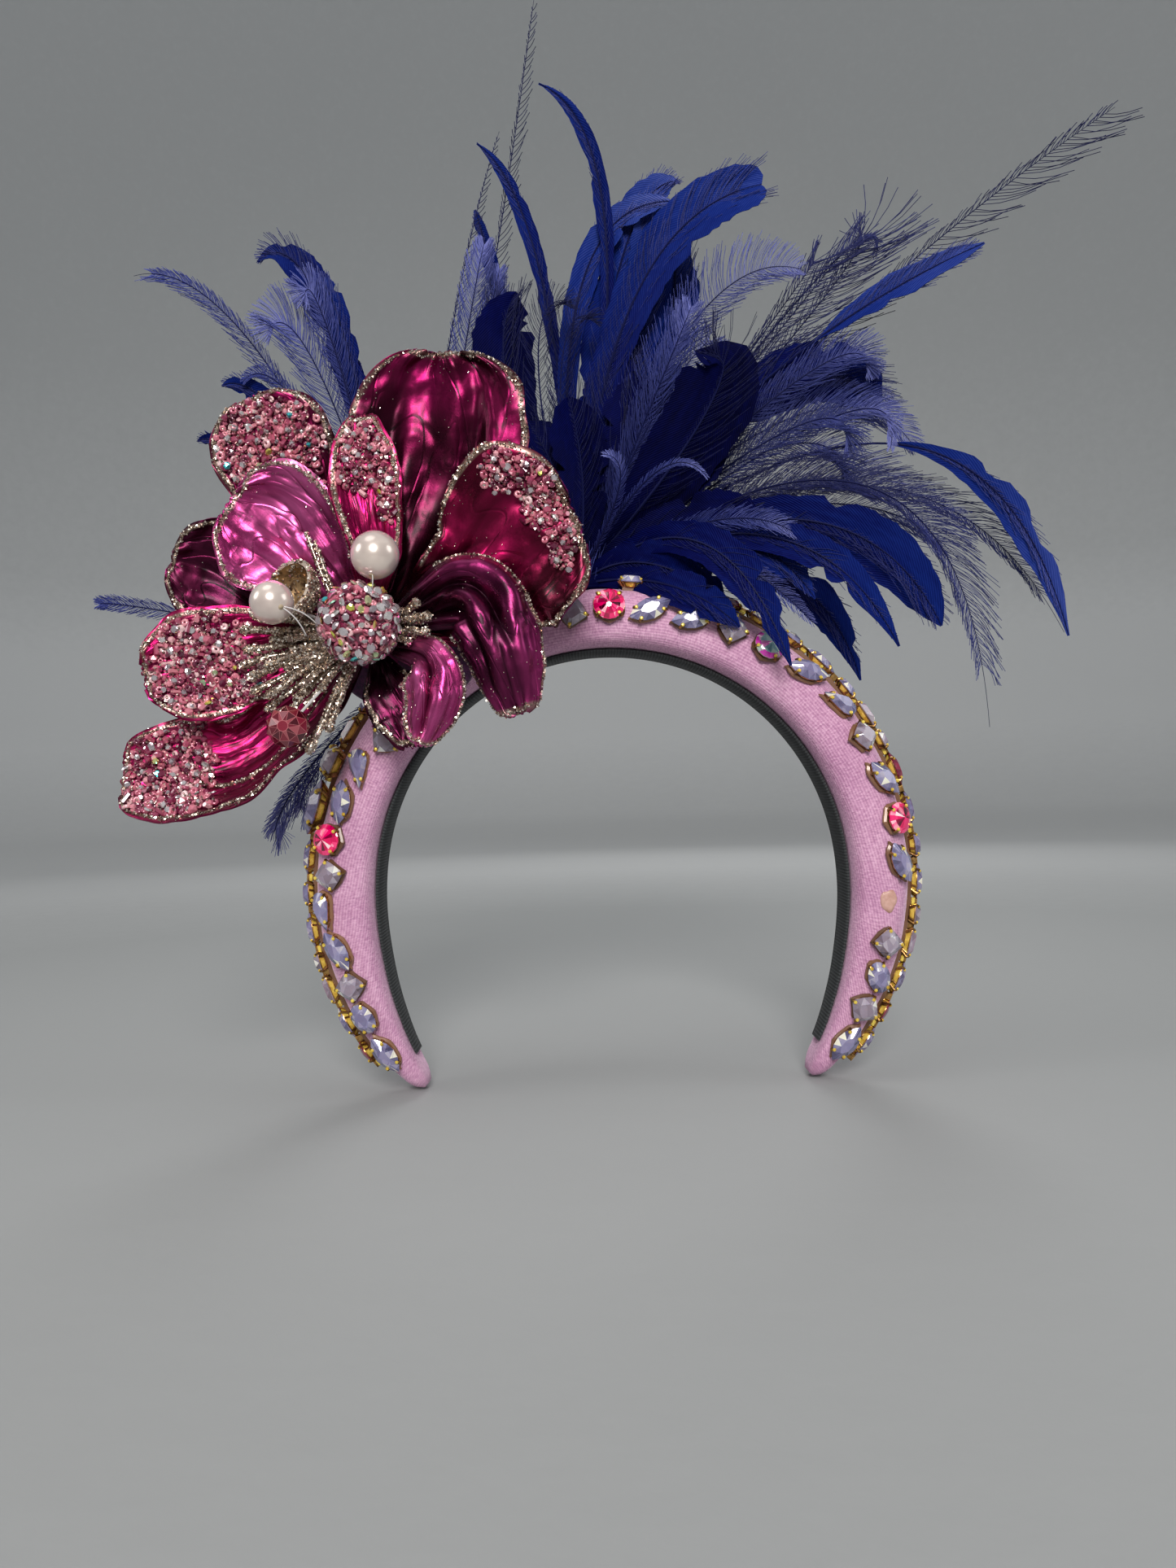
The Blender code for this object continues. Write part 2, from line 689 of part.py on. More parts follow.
def make_pad():
    shape = bmesh.new()
    rings = []
    for depth in (PAD_BACK_Y, PAD_BACK_Y - PAD_THICKNESS):
        ring = []
        for step in range(PAD_SIDES):
            turn = 2 * math.pi * step / PAD_SIDES
            ring.append(Vector((PAD_CENTRE[0] + PAD_HALF_SIZE[0] * math.cos(turn), depth,
                                PAD_CENTRE[1] + PAD_HALF_SIZE[1] * math.sin(turn))))
        rings.append(ring)
    add_loft(shape, rings)
    place("flower_pad", mesh_of("flower_pad", shape), "felt")


def turned_rings(profile):
    """Rings of a profile of depth and radius, turned about the flower's axis."""
    angles = [360.0 * step / FLOWER_SIDES for step in range(FLOWER_SIDES)]
    return [[flower_point(angle, radius, depth) for angle in angles] for depth, radius in profile]


def collar_seat(angle, wire_radius):
    """End of a wire that stands on the collar's outside."""
    depth = (COLLAR_FRONT_Y + COLLAR_BACK_Y) / 2
    return flower_point(angle, COLLAR_OUTER + GAP + wire_radius * 0.6, depth)


def make_calyx():
    shape = bmesh.new()
    add_loft(shape, turned_rings(CALYX_PROFILE))
    place("flower_calyx", mesh_of("flower_calyx", shape), "foil")


def add_ball(shape, centre, radius, sides=BEAD_SIDES):
    rows = sides // 2
    rings = []
    for row in range(1, rows):
        polar = math.pi * row / rows
        ring_radius = radius * math.sin(polar)
        height = radius * math.cos(polar)
        turns = [2 * math.pi * step / sides for step in range(sides)]
        rings.append([Vector(centre) + Vector((ring_radius * math.cos(turn),
                                               ring_radius * math.sin(turn), height))
                      for turn in turns])
    add_loft(shape, rings)
    for face in list(shape.faces)[-2:]:
        middle = face.calc_center_median()
        toward = (middle - Vector(centre)).normalized()
        fan = bmesh.ops.poke(shape, faces=[face])
        fan["verts"][0].co = Vector(centre) + toward * radius


def tube_mesh(name, points, radii, sides):
    """Closed tube through points in millimetres with its own radius at each."""
    shape = bmesh.new()
    rings = []
    for index, point in enumerate(points):
        before = points[max(index - 1, 0)]
        after = points[min(index + 1, len(points) - 1)]
        run = (after - before).normalized()
        side = run.cross(Vector((0.31, 0.88, 0.36))).normalized()
        up = run.cross(side)
        turns = [2 * math.pi * step / sides for step in range(sides)]
        rings.append([point + (side * math.cos(turn) + up * math.sin(turn)) * radii[index]
                      for turn in turns])
    add_loft(shape, rings)
    return mesh_of(name, shape)


def make_ball_and_beads():
    shape = bmesh.new()
    add_ball(shape, BALL_CENTRE, BALL_RADIUS, BALL_SIDES)
    place("beaded_ball", mesh_of("beaded_ball", shape), "beads")
    wired = dict(PEARLS)
    wired["rose_bead"] = ROSE_BEAD
    for name, (centre, radius, angle) in wired.items():
        shape = bmesh.new()
        add_ball(shape, centre, radius)
        middle = Vector(centre)
        start = collar_seat(angle, WIRE_RADIUS)
        inside = middle + (start - middle).normalized() * radius * 0.5
        wire = tube_mesh("wire", [start, inside], [WIRE_RADIUS, WIRE_RADIUS], 6)
        fused(name, [mesh_of("bead", shape), wire], "beads" if name == "rose_bead" else "pearl")


def make_cup():
    """Small open bell behind the left pearl, on its own stalk."""
    mouth = Vector(CUP_MOUTH)
    bottom = Vector(CUP_BOTTOM)
    axis = (mouth - bottom).normalized()
    side = axis.cross(Vector((0.0, 0.0, 1.0))).normalized()
    up = axis.cross(side)
    depth = (mouth - bottom).length
    outer = ((0.0, 0.35), (0.25, 0.72), (0.6, 0.93), (1.0, 1.0))
    wall = CUP_WALL / CUP_RADIUS
    profile = [(share * depth, size * CUP_RADIUS) for share, size in outer]
    profile += [(max(CUP_WALL, share * depth), (size - wall) * CUP_RADIUS)
                for share, size in reversed(outer)]
    shape = bmesh.new()
    rings = []
    for height, radius in profile:
        turns = [2 * math.pi * step / BEAD_SIDES for step in range(BEAD_SIDES)]
        rings.append([bottom + axis * height
                      + (side * math.cos(turn) + up * math.sin(turn)) * radius
                      for turn in turns])
    add_loft(shape, rings)
    root = collar_seat(CUP_ROOT_ANGLE, STALK_RADIUS)
    stalk = tube_mesh("stalk", [root, bottom + axis * CUP_WALL * 0.6], [STALK_RADIUS] * 2, 6)
    fused("glitter_cup", [mesh_of("cup", shape), stalk], "glitter")


def make_stamens():
    shape = bmesh.new()
    profile = ((COLLAR_BACK_Y, COLLAR_INNER), (COLLAR_BACK_Y, COLLAR_OUTER),
               (COLLAR_FRONT_Y, COLLAR_OUTER), (COLLAR_FRONT_Y, COLLAR_INNER))
    rows = [[shape.verts.new(point) for point in ring] for ring in turned_rings(profile)]
    for index in range(4):
        lower = rows[index]
        upper = rows[(index + 1) % 4]
        for step in range(FLOWER_SIDES):
            after = (step + 1) % FLOWER_SIDES
            shape.faces.new((lower[step], lower[after], upper[after], upper[step]))
    bodies = [mesh_of("collar", shape)]
    for tip in STAMEN_TIPS:
        tip = Vector(tip)
        outward = Vector((tip.x - FLOWER_X, 0.0, tip.z - FLOWER_Z)).normalized()
        root = Vector((FLOWER_X, (COLLAR_FRONT_Y + COLLAR_BACK_Y) / 2, FLOWER_Z))
        root += outward * (COLLAR_OUTER - STAMEN_SINK)
        bow = (root + tip) / 2 + Vector((0.0, -STAMEN_BOW, 0.0))
        points = []
        for share, _ in STAMEN_RADII:
            points.append(root * (1 - share) ** 2 + bow * 2 * share * (1 - share)
                          + tip * share ** 2)
        bodies.append(tube_mesh("stamen", points, [radius for _, radius in STAMEN_RADII], 4))
    fused("stamens", bodies, "glitter")


def feather_mesh(root, middle, tip, width):
    """Tapered strip with a ridge on both faces, along a curve through three points."""
    bend = middle * 2 - (root + tip) / 2
    view = Vector((0.0, -1.0, 0.0))
    shape = bmesh.new()
    rings = []
    for share, size in FEATHER_SHAPE:
        here = root * (1 - share) ** 2 + bend * 2 * share * (1 - share) + tip * share ** 2
        run = ((bend - root) * (1 - share) + (tip - bend) * share).normalized()
        facing = (view - run * view.dot(run)).normalized()
        side = run.cross(facing)
        half = max(width / 2 * size, FEATHER_LEAST_HALF)
        ridge = FEATHER_THICKNESS / 2 * (1.0 if size > 0.3 else 0.7)
        rings.append([here - side * half, here + facing * ridge, here + side * half,
                      here - facing * ridge])
    add_loft(shape, rings)
    return mesh_of("feather", shape)


def make_plume(name, plume):
    angle, section_angle = plume["seat"]
    length, width, height = plume["head"]
    here, along, normal = velvet_frame(angle, section_angle)
    matrix = seat_matrix(here, along, normal, GAP, 0.0)
    shape = bmesh.new()
    rings = []
    for level, share in HEAD_LEVELS:
        turns = [2 * math.pi * step / HEAD_SIDES for step in range(HEAD_SIDES)]
        rings.append([matrix @ Vector((length * share * math.cos(turn),
                                       width * share * math.sin(turn), height * level))
                      for turn in turns])
    add_loft(shape, rings)
    heart = here + normal * (GAP + height * HEAD_HEART)
    bodies = [mesh_of("head", shape)]
    for row in plume["feathers"]:
        middle = Vector(row[0:3])
        tip = Vector(row[3:6])
        root = heart + (middle - heart).normalized() * FEATHER_ROOT_SINK
        bodies.append(feather_mesh(root, middle, tip, row[6]))
    fused(name, bodies, "feather")


def main():
    clear_scene()
    make_band()
    make_lining()
    make_front_stones()
    make_rim_row("rim_row_left", -1)
    make_rim_row("rim_row_right", 1)
    make_pad()
    make_calyx()
    for name, rows in PETALS.items():
        make_petal(name, rows)
    make_ball_and_beads()
    make_cup()
    make_stamens()
    for name, plume in PLUMES.items():
        make_plume(name, plume)


main()
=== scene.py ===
"""Looks of a velvet halo headband with claw-set stones, a foil magnolia and feather plumes.

Tables are in millimetres and meshes in metres. +Z is up and -Y is the wearer's front.
"""
import math
import random

import bpy
import numpy as np
from mathutils import Matrix, Vector, noise


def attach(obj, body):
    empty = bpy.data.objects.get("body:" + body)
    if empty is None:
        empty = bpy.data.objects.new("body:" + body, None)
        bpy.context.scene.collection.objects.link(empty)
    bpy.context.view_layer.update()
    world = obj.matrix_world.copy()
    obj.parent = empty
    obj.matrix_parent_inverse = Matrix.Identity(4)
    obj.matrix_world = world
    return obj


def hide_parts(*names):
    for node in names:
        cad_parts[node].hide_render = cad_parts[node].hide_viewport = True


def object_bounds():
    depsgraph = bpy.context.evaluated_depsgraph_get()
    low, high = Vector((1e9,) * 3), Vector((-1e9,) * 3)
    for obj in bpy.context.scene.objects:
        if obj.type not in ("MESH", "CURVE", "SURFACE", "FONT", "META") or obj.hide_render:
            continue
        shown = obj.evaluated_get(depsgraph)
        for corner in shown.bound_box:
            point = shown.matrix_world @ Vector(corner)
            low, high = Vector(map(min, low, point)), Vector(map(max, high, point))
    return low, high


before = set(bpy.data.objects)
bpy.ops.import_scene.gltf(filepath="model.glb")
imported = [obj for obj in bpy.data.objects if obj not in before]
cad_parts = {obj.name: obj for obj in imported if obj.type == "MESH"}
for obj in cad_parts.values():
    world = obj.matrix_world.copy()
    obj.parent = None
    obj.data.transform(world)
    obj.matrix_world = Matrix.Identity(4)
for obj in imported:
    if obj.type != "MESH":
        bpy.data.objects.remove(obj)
CAD_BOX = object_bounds()
MM = 0.001
BODY = "root"
FRONT = Vector((0.0, -1.0, 0.0))

# Angles in degrees over which an edge stays sharp.
ALL_SMOOTH = 180.0
SOFT_EDGE = 60.0


def turns(count):
    """Angles of equal steps round a full turn."""
    return [2 * math.pi * step / count for step in range(count)]


def pairs(count):
    """Each step round a ring with the step after it."""
    return [(step, (step + 1) % count) for step in range(count)]


def axes(first, second, third):
    """Rotation whose columns are three directions."""
    return Matrix((first, second, third)).transposed()


def new_object(name, data):
    item = bpy.data.objects.new(name, data)
    bpy.context.scene.collection.objects.link(item)
    return item


# Camera and studio

IMAGE_WIDTH = 1445
IMAGE_HEIGHT = 1927
CAMERA_PLACE = (-0.0074, -0.412, -0.045)
CAMERA_ROLL = math.radians(1.8)
SENSOR = 36.0


def make_camera():
    lens = bpy.data.cameras.new("camera")
    lens.sensor_width = SENSOR
    lens.lens = SENSOR * IMAGE_WIDTH / IMAGE_HEIGHT
    lens.clip_start = 0.01
    lens.clip_end = 20.0
    camera = new_object("camera", lens)
    cosine = math.cos(CAMERA_ROLL)
    sine = math.sin(CAMERA_ROLL)
    turned = axes((cosine, 0.0, -sine), (sine, 0.0, cosine), FRONT).to_4x4()
    camera.matrix_world = Matrix.Translation(CAMERA_PLACE) @ turned
    bpy.context.scene.camera = camera


# Lamps: place, size in metres, watts, spread in degrees and colour.
LAMPS = {
    "key_light": ((0.0, -1.3, 0.56), 0.55, 3.3, 74, (1.0, 0.97, 0.95)),
    "top_softbox": ((-0.35, -0.35, 1.15), 0.7, 1.7, 180, (1.0, 0.99, 0.97)),
    "left_softbox": ((-1.2, -0.3, 0.55), 0.6, 1.7, 150, (1.0, 0.98, 0.96)),
    "right_softbox": ((1.2, -0.2, 0.5), 0.6, 1.3, 150, (0.96, 0.98, 1.0)),
    "back_softbox": ((0.2, 1.25, 0.8), 0.7, 3.5, 150, (1.0, 1.0, 1.0)),
}
LAMP_AIM = Vector((-0.01, 0.0, 0.02))
COVE_PROFILE = ((0.0, 0.0), (1.5, 0.0), (1.9, 0.05), (2.25, 0.25), (2.45, 0.6), (2.5, 1.1),
                (2.5, 2.6))
COVE_SIDES = 72
FLOOR_GAP = 0.0006
WORLD_COLOR = (0.86, 0.88, 0.90, 1.0)
WORLD_STRENGTH = 0.45


def make_lamps():
    for name, (place, size, watts, spread, color) in LAMPS.items():
        lamp = bpy.data.lights.new(name, "AREA")
        lamp.shape = "DISK"
        lamp.size = size
        lamp.energy = watts
        lamp.spread = math.radians(spread)
        lamp.color = color
        item = new_object(name, lamp)
        item.location = place
        item.rotation_euler = (LAMP_AIM - Vector(place)).to_track_quat("-Z", "Y").to_euler()
    world = bpy.data.worlds.new("studio")
    world.use_nodes = True
    background = world.node_tree.nodes["Background"].inputs
    background["Color"].default_value = WORLD_COLOR
    background["Strength"].default_value = WORLD_STRENGTH
    bpy.context.scene.world = world
    bpy.context.scene.view_settings.view_transform = "Standard"


def make_cove():
    """Round studio floor that rises into a wall all round, with no edge in any view."""
    floor_height = CAD_BOX[0].z - FLOOR_GAP
    points, faces = loft([[(radius * math.cos(turn), radius * math.sin(turn), floor_height + height)
                           for turn in turns(COVE_SIDES)] for radius, height in COVE_PROFILE],
                         caps=False)
    mesh = bpy.data.meshes.new("studio_floor")
    mesh.from_pydata(points, [], [face[:1] + face[:0:-1] for face in faces])
    mesh.shade_smooth()
    mesh.materials.append(paint_floor())
    new_object("studio_floor", mesh)


# Nodes and materials


def add_node(tree, kind, inputs=None, **settings):
    """New node with its settings, and with values or sockets on its inputs."""
    made = tree.nodes.new(kind)
    for key, value in settings.items():
        setattr(made, key, value)
    for key, value in (inputs or {}).items():
        socket = made.inputs[key]
        if isinstance(value, bpy.types.NodeSocket):
            tree.links.new(value, socket)
        else:
            socket.default_value = value
    return made


class Finish:
    """One material: its shader, and the patterns that feed it."""

    def __init__(self, name, color, roughness, metallic=0.0, **sockets):
        self.material = bpy.data.materials.new(name)
        self.material.use_nodes = True
        self.tree = self.material.node_tree
        self.shader = self.tree.nodes["Principled BSDF"].inputs
        sockets.update(Base_Color=(*color, 1.0), Roughness=roughness, Metallic=metallic)
        for key, value in sockets.items():
            self.shader[key.replace("_", " ")].default_value = value

    def add(self, kind, inputs=None, **settings):
        return add_node(self.tree, kind, inputs, **settings)

    def place(self, flow=None, stretch=(1.0, 1.0, 1.0)):
        """Object coordinates, or the map that flows along the piece, stretched per axis."""
        if flow:
            vector = self.add("ShaderNodeUVMap", uv_map="flow").outputs["UV"]
            stretch = (*flow, 1.0)
        else:
            vector = self.add("ShaderNodeTexCoord").outputs["Object"]
        return self.add("ShaderNodeMapping", {"Vector": vector, "Scale": stretch}).outputs[0]

    def grain(self, scale, detail=3.0, roughness=0.55, distortion=0.0, flow=None):
        return self.add("ShaderNodeTexNoise", {"Vector": self.place(flow), "Scale": scale,
                                               "Detail": detail, "Roughness": roughness,
                                               "Distortion": distortion}).outputs["Fac"]

    def ribs(self, axis, flow, scale, distortion, detail=2.0, detail_scale=2.0):
        """Bands across one axis of the flow map."""
        return self.add("ShaderNodeTexWave", {
            "Vector": self.place(flow), "Scale": scale, "Distortion": distortion,
            "Detail": detail, "Detail Scale": detail_scale},
            wave_type="BANDS", bands_direction=axis).outputs["Fac"]

    def value(self, name):
        return self.add("ShaderNodeAttribute", attribute_name=name).outputs["Fac"]

    def ramp(self, value, stops):
        """Colour for a value; stops are pairs of a position and a colour."""
        ramp = self.add("ShaderNodeValToRGB", {"Fac": value})
        elements = ramp.color_ramp.elements
        while len(elements) < len(stops):
            elements.new(0.5)
        for element, (position, color) in zip(elements, stops):
            element.position = position
            element.color = (*color, 1.0)
        return ramp.outputs["Color"]

    def mix(self, share, first, second):
        first, second = ((*color, 1.0) if isinstance(color, tuple) else color
                         for color in (first, second))
        return self.add("ShaderNodeMix", {0: share, 6: first, 7: second},
                        data_type="RGBA").outputs[2]

    def scale(self, value, low, high, start=0.0, end=1.0):
        return self.add("ShaderNodeMapRange", {"Value": value, "From Min": start,
                                               "From Max": end, "To Min": low,
                                               "To Max": high}).outputs[0]

    def math(self, operation, first, second=0.0):
        return self.add("ShaderNodeMath", {0: first, 1: second}, operation=operation).outputs[0]

    def total(self, first, *rest):
        """Sum of patterns; a pair is a pattern and its share."""
        if isinstance(first, tuple):
            first = self.math("MULTIPLY", *first)
        return self.math("ADD", first, self.total(*rest)) if rest else first

    def color(self, value, stops=None):
        self.tree.links.new(self.ramp(value, stops) if stops else value, self.shader["Base Color"])

    def rough(self, value, low, high):
        """Roughness between two values over the middle of a pattern."""
        spread = self.scale(value, low, high, 0.35, 0.65)
        self.tree.links.new(spread, self.shader["Roughness"])

    def relief(self, height, strength, distance):
        made = self.add("ShaderNodeBump", {"Height": height, "Strength": strength,
                                           "Distance": distance})
        self.tree.links.new(made.outputs[0], self.shader["Normal"])


# Greys by distance from the middle, so that floor and wall meet without a line.
FLOOR_GREYS = ((0.1, 0.34), (0.24, 0.35), (0.33, 0.42), (0.42, 0.52), (0.5, 0.57), (0.6, 0.58),
               (0.7, 0.60), (0.78, 0.68), (0.86, 0.77), (0.93, 0.79), (0.99, 0.67))


def paint_floor():
    look = Finish("studio_paint", (0.5, 0.51, 0.51), 0.8)
    grain = look.grain(60.0, 5.0)
    away = look.add("ShaderNodeVectorMath", {0: look.place(stretch=(1.0, 1.0, 0.0))},
                    operation="LENGTH").outputs["Value"]
    tone = look.total(look.scale(away, 0.0, 0.97, 0.0, COVE_PROFILE[-1][0]), (grain, 0.04))
    look.color(tone, [(at, (grey, grey + 0.01, grey + 0.01)) for at, grey in FLOOR_GREYS])
    look.relief(grain, 0.12, 0.002)
    return look.material


def paint_velvet():
    """Lilac pile in fine ribs along the band, each rib broken into short dashes."""
    look = Finish("lilac_velvet", (0.50, 0.26, 0.44), 0.9, Sheen_Weight=0.45,
                  Sheen_Roughness=0.4, Sheen_Tint=(1.0, 0.80, 0.95, 1.0),
                  Specular_IOR_Level=0.15)
    ribs = look.ribs("Y", (0.02, 1.0), 0.31, 1.4)
    dashes = look.grain(1.0, 2.0, 0.6, flow=(1.5, 0.55))
    broad = look.grain(45.0, 4.0)
    pile = look.total((ribs, 0.11), (dashes, 0.54), (broad, 0.35))
    look.color(pile, ((0.36, (0.43, 0.20, 0.34)), (0.5, (0.59, 0.31, 0.47)),
                      (0.64, (0.76, 0.46, 0.62))))
    look.relief(pile, 0.8, 0.0007)
    return look.material


def paint_ribbon():
    look = Finish("charcoal_ribbon", (0.02, 0.023, 0.025), 0.8)
    ribs = look.ribs("X", (1.0, 0.0), 0.3, 0.4, detail_scale=1.0)
    look.color(ribs, ((0.0, (0.012, 0.014, 0.015)), (1.0, (0.035, 0.04, 0.042))))
    look.relief(ribs, 0.6, 0.0003)
    return look.material


def paint_mottled(name, color, stops, roughness, metallic, grain, relief=None, worn=False,
                  **sockets):
    """Finish that drifts between two tones, and is duller in the first where it is worn."""
    look = Finish(name, color, roughness, metallic, **sockets)
    cloud = look.grain(*grain)
    look.color(cloud, stops)
    if worn:
        look.rough(cloud, roughness + 0.22, roughness - 0.04)
    if relief:
        look.relief(cloud, *relief)
    return look.material


def paint_gold(name, dark, bright, roughness=0.22, metallic=1.0):
    return paint_mottled(name, bright, ((0.36, dark), (0.56, bright)), roughness, metallic,
                         (380.0, 4.0, 0.65), (0.25, 0.0003), worn=True)


# Stones: name, roughness, share of milky depth, and colours by tone, whose lightest stops are
# painted glints.
GLASS = {
    "opal": ("opal_glass", 0.12, 0.15, (
        (0.16, (0.045, 0.038, 0.09)), (0.36, (0.14, 0.12, 0.24)), (0.60, (0.29, 0.25, 0.41)),
        (0.76, (0.45, 0.39, 0.50)), (0.90, (0.98, 0.89, 0.70)))),
    "mauve": ("mauve_opal_glass", 0.15, 0.2, (
        (0.16, (0.06, 0.04, 0.05)), (0.36, (0.20, 0.14, 0.18)), (0.60, (0.34, 0.26, 0.33)),
        (0.78, (0.50, 0.40, 0.46)), (0.92, (0.96, 0.88, 0.78)))),
    "rose": ("rose_glass", 0.06, 0.0, (
        (0.18, (0.035, 0.0, 0.008)), (0.38, (0.26, 0.0, 0.04)), (0.60, (0.78, 0.0, 0.11)),
        (0.78, (1.0, 0.07, 0.27)), (0.92, (1.0, 0.72, 0.76)))),
    "aurora": ("aurora_glass", 0.05, 0.0, (
        (0.10, (0.04, 0.10, 0.16)), (0.34, (0.20, 0.36, 0.40)), (0.55, (0.55, 0.62, 0.52)),
        (0.72, (0.50, 0.03, 0.36)), (0.88, (0.85, 0.06, 0.55)), (0.97, (0.9, 0.9, 0.8)))),
    "garnet": ("garnet_glass", 0.08, 0.0, ((0.2, (0.08, 0.0, 0.02)), (0.8, (0.30, 0.02, 0.06)))),
}

# Petal foils: name, colours of the painted shade, of the painted light and on the back, and depth
# of the ribs.
FOILS = {
    "magenta": ("magenta_foil", (0.075, 0.0, 0.02), (0.26, 0.003, 0.076), (0.55, 0.03, 0.24)),
    "violet": ("violet_foil", (0.36, 0.03, 0.15), (0.86, 0.16, 0.46), (0.42, 0.04, 0.22), 0.15),
    "aubergine": ("aubergine_foil", (0.03, 0.0, 0.012), (0.10, 0.005, 0.035), (0.65, 0.04, 0.30)),
    "crimson": ("crimson_foil", (0.08, 0.0, 0.014), (0.29, 0.002, 0.06), (0.45, 0.04, 0.26)),
    "hot": ("hot_pink_foil", (0.20, 0.0, 0.045), (0.54, 0.014, 0.135), (0.34, 0.01, 0.11), 0.5),
    "plum": ("plum_foil", (0.07, 0.001, 0.028), (0.38, 0.034, 0.17), (0.18, 0.01, 0.09)),
}
GLITTER_GLUE = (0.50, 0.40, 0.30)

# Colours by tone, or by the mottling of the surface.
BEAD_TONES = ((0.0, (0.07, 0.005, 0.024)), (0.25, (0.27, 0.03, 0.085)), (0.6, (0.55, 0.13, 0.20)),
              (0.85, (0.76, 0.28, 0.34)), (1.0, (0.95, 0.70, 0.70)))
SEQUIN_TONES = ((0.0, (0.55, 0.45, 0.50)), (0.6, (0.85, 0.80, 0.82)), (0.82, (0.8, 0.75, 0.7)),
                (0.87, (0.80, 0.85, 0.15)), (0.93, (0.95, 0.75, 0.20)),
                (0.97, (0.10, 0.65, 0.70)))
GLITTER_TONES = ((0.0, (0.22, 0.15, 0.12)), (0.35, (0.50, 0.40, 0.33)),
                 (0.7, (0.80, 0.70, 0.58)), (1.0, (1.0, 0.96, 0.88)))
# The rose bead's light tones are the painted highlight on its facet edges.
ROSE_BEAD_TONES = ((0.1, (0.05, 0.002, 0.007)), (0.6, (0.21, 0.016, 0.035)),
                   (0.9, (0.50, 0.17, 0.18)))
GLUE_TONES = ((0.0, (0.10, 0.045, 0.02)), (1.0, (0.30, 0.15, 0.08)))
DRY_GLUE_TONES = ((0.3, (0.46, 0.24, 0.18)), (0.7, (0.62, 0.38, 0.32)))
FELT_TONES = ((0.35, (0.02, 0.004, 0.03)), (0.65, (0.09, 0.012, 0.07)))
PEARL_TONES = ((0.35, (0.80, 0.69, 0.61)), (0.65, (0.66, 0.55, 0.50)))
BARB_BLUES = ((0.0, (0.004, 0.005, 0.036)), (0.35, (0.014, 0.018, 0.11)),
              (0.7, (0.05, 0.065, 0.27)), (1.0, (0.20, 0.22, 0.54)))
VANE_BLUES = ((0.0, (0.0004, 0.0005, 0.014)), (0.28, (0.0012, 0.0026, 0.058)),
              (0.6, (0.006, 0.020, 0.165)), (0.85, (0.037, 0.062, 0.27)),
              (1.0, (0.13, 0.15, 0.40)))
FINISHES = {}


def paint_stone(name, roughness, milk, stops):
    """Faceted glass whose facets each have a tone of their own, which paints their reflections,
    with cells of painted reflection over them.
    """
    look = Finish(name, stops[0][1], roughness, IOR=1.6, Coat_Weight=0.6, Coat_Roughness=0.03,
                  Subsurface_Weight=milk)
    # Cells of painted reflection inside the stone.
    reflection_cells = look.add("ShaderNodeTexVoronoi", {"Vector": look.place(stretch=(1.0, 1.0, 0.7)),
                                               "Scale": 430.0}).outputs["Color"]
    mirrored = look.add("ShaderNodeSeparateColor", {0: reflection_cells}).outputs[0]
    cloud = look.grain(420.0, 2.0)
    look.color(look.total((look.value("tone"), 0.66), (mirrored, 0.22), (cloud, 0.14)), stops)
    return look.material


def paint_foil(name, shade_color, lit, back, ribbed=0.07):
    """Satin foil on cloth: soft dents, a few creases along the petal, and painted shade at its
    root, in its folds and along the creases.
    """
    look = Finish(name, lit, 0.36, 0.91, Coat_Weight=0.1, Coat_Roughness=0.24)
    ribs = look.grain(1.0, 2.0, 0.45, 0.5, flow=(0.045, 0.34))
    lines = look.grain(1.0, 1.5, 0.4, 1.0, flow=(0.03, 0.13))
    dents = look.grain(88.0, 1.5, 0.4, 0.4)
    broad = look.grain(46.0, 2.0)
    pores = look.grain(1300.0, 2.0)
    # Thin crease lines: a bump groove, and painted shade along them.
    off_line = look.math("ABSOLUTE", look.math("SUBTRACT", lines, 0.5))
    crease = look.scale(off_line, 1.0, 0.0, 0.0, 0.035)
    # Front mottled between the painted shade colour and the painted light colour.
    front = look.ramp(look.total((ribs, 0.3), (broad, 0.7)), ((0.41, shade_color), (0.67, lit)))
    color = look.mix(look.value("inside"), back, front)
    color = look.mix(look.total((look.value("rim"), 0.8)), color, GLITTER_GLUE)
    # Painted shade from the shade attribute and the crease lines darkens towards this colour.
    dark = tuple(0.2 * value for value in shade_color)
    shaded = look.total((look.value("shade"), 0.8), (crease, 0.1))
    look.color(look.mix(look.math("MINIMUM", shaded, 0.95), color, dark))
    look.rough(look.total((broad, 0.6), (pores, 0.4)), 0.24, 0.42)
    raised = look.math("SUBTRACT", look.total(dents, (pores, 0.012)), look.total((crease, 0.07)))
    look.relief(look.total((ribs, ribbed), raised), 0.8, 0.0024)
    return look.material


def paint_toned(name, roughness, metallic, stops, **sockets):
    """Small parts that each have a tone: beads, sequins, glitter and feather strands."""
    look = Finish(name, stops[0][1], roughness, metallic, **sockets)
    look.color(look.value("tone"), stops)
    return look.material


def paint_vane():
    """Dyed vane: fine barbs that slant from the stem, in the tone of its feather."""
    look = Finish("royal_vane", (0.012, 0.016, 0.33), 0.55, Sheen_Weight=0.02,
                  Sheen_Tint=(0.15, 0.2, 1.0, 1.0), Specular_IOR_Level=0.03)
    barbs = look.ribs("X", (1.0, 1.0), 0.42, 1.5, 3.0)
    broad = look.grain(1.0, 4.0, flow=(0.1, 0.5))
    look.color(look.total(look.value("tone"), look.scale(broad, -0.16, 0.16),
                          look.scale(barbs, -0.05, 0.07)), VANE_BLUES)
    look.relief(look.total(barbs, broad), 0.5, 0.0003)
    return look.material


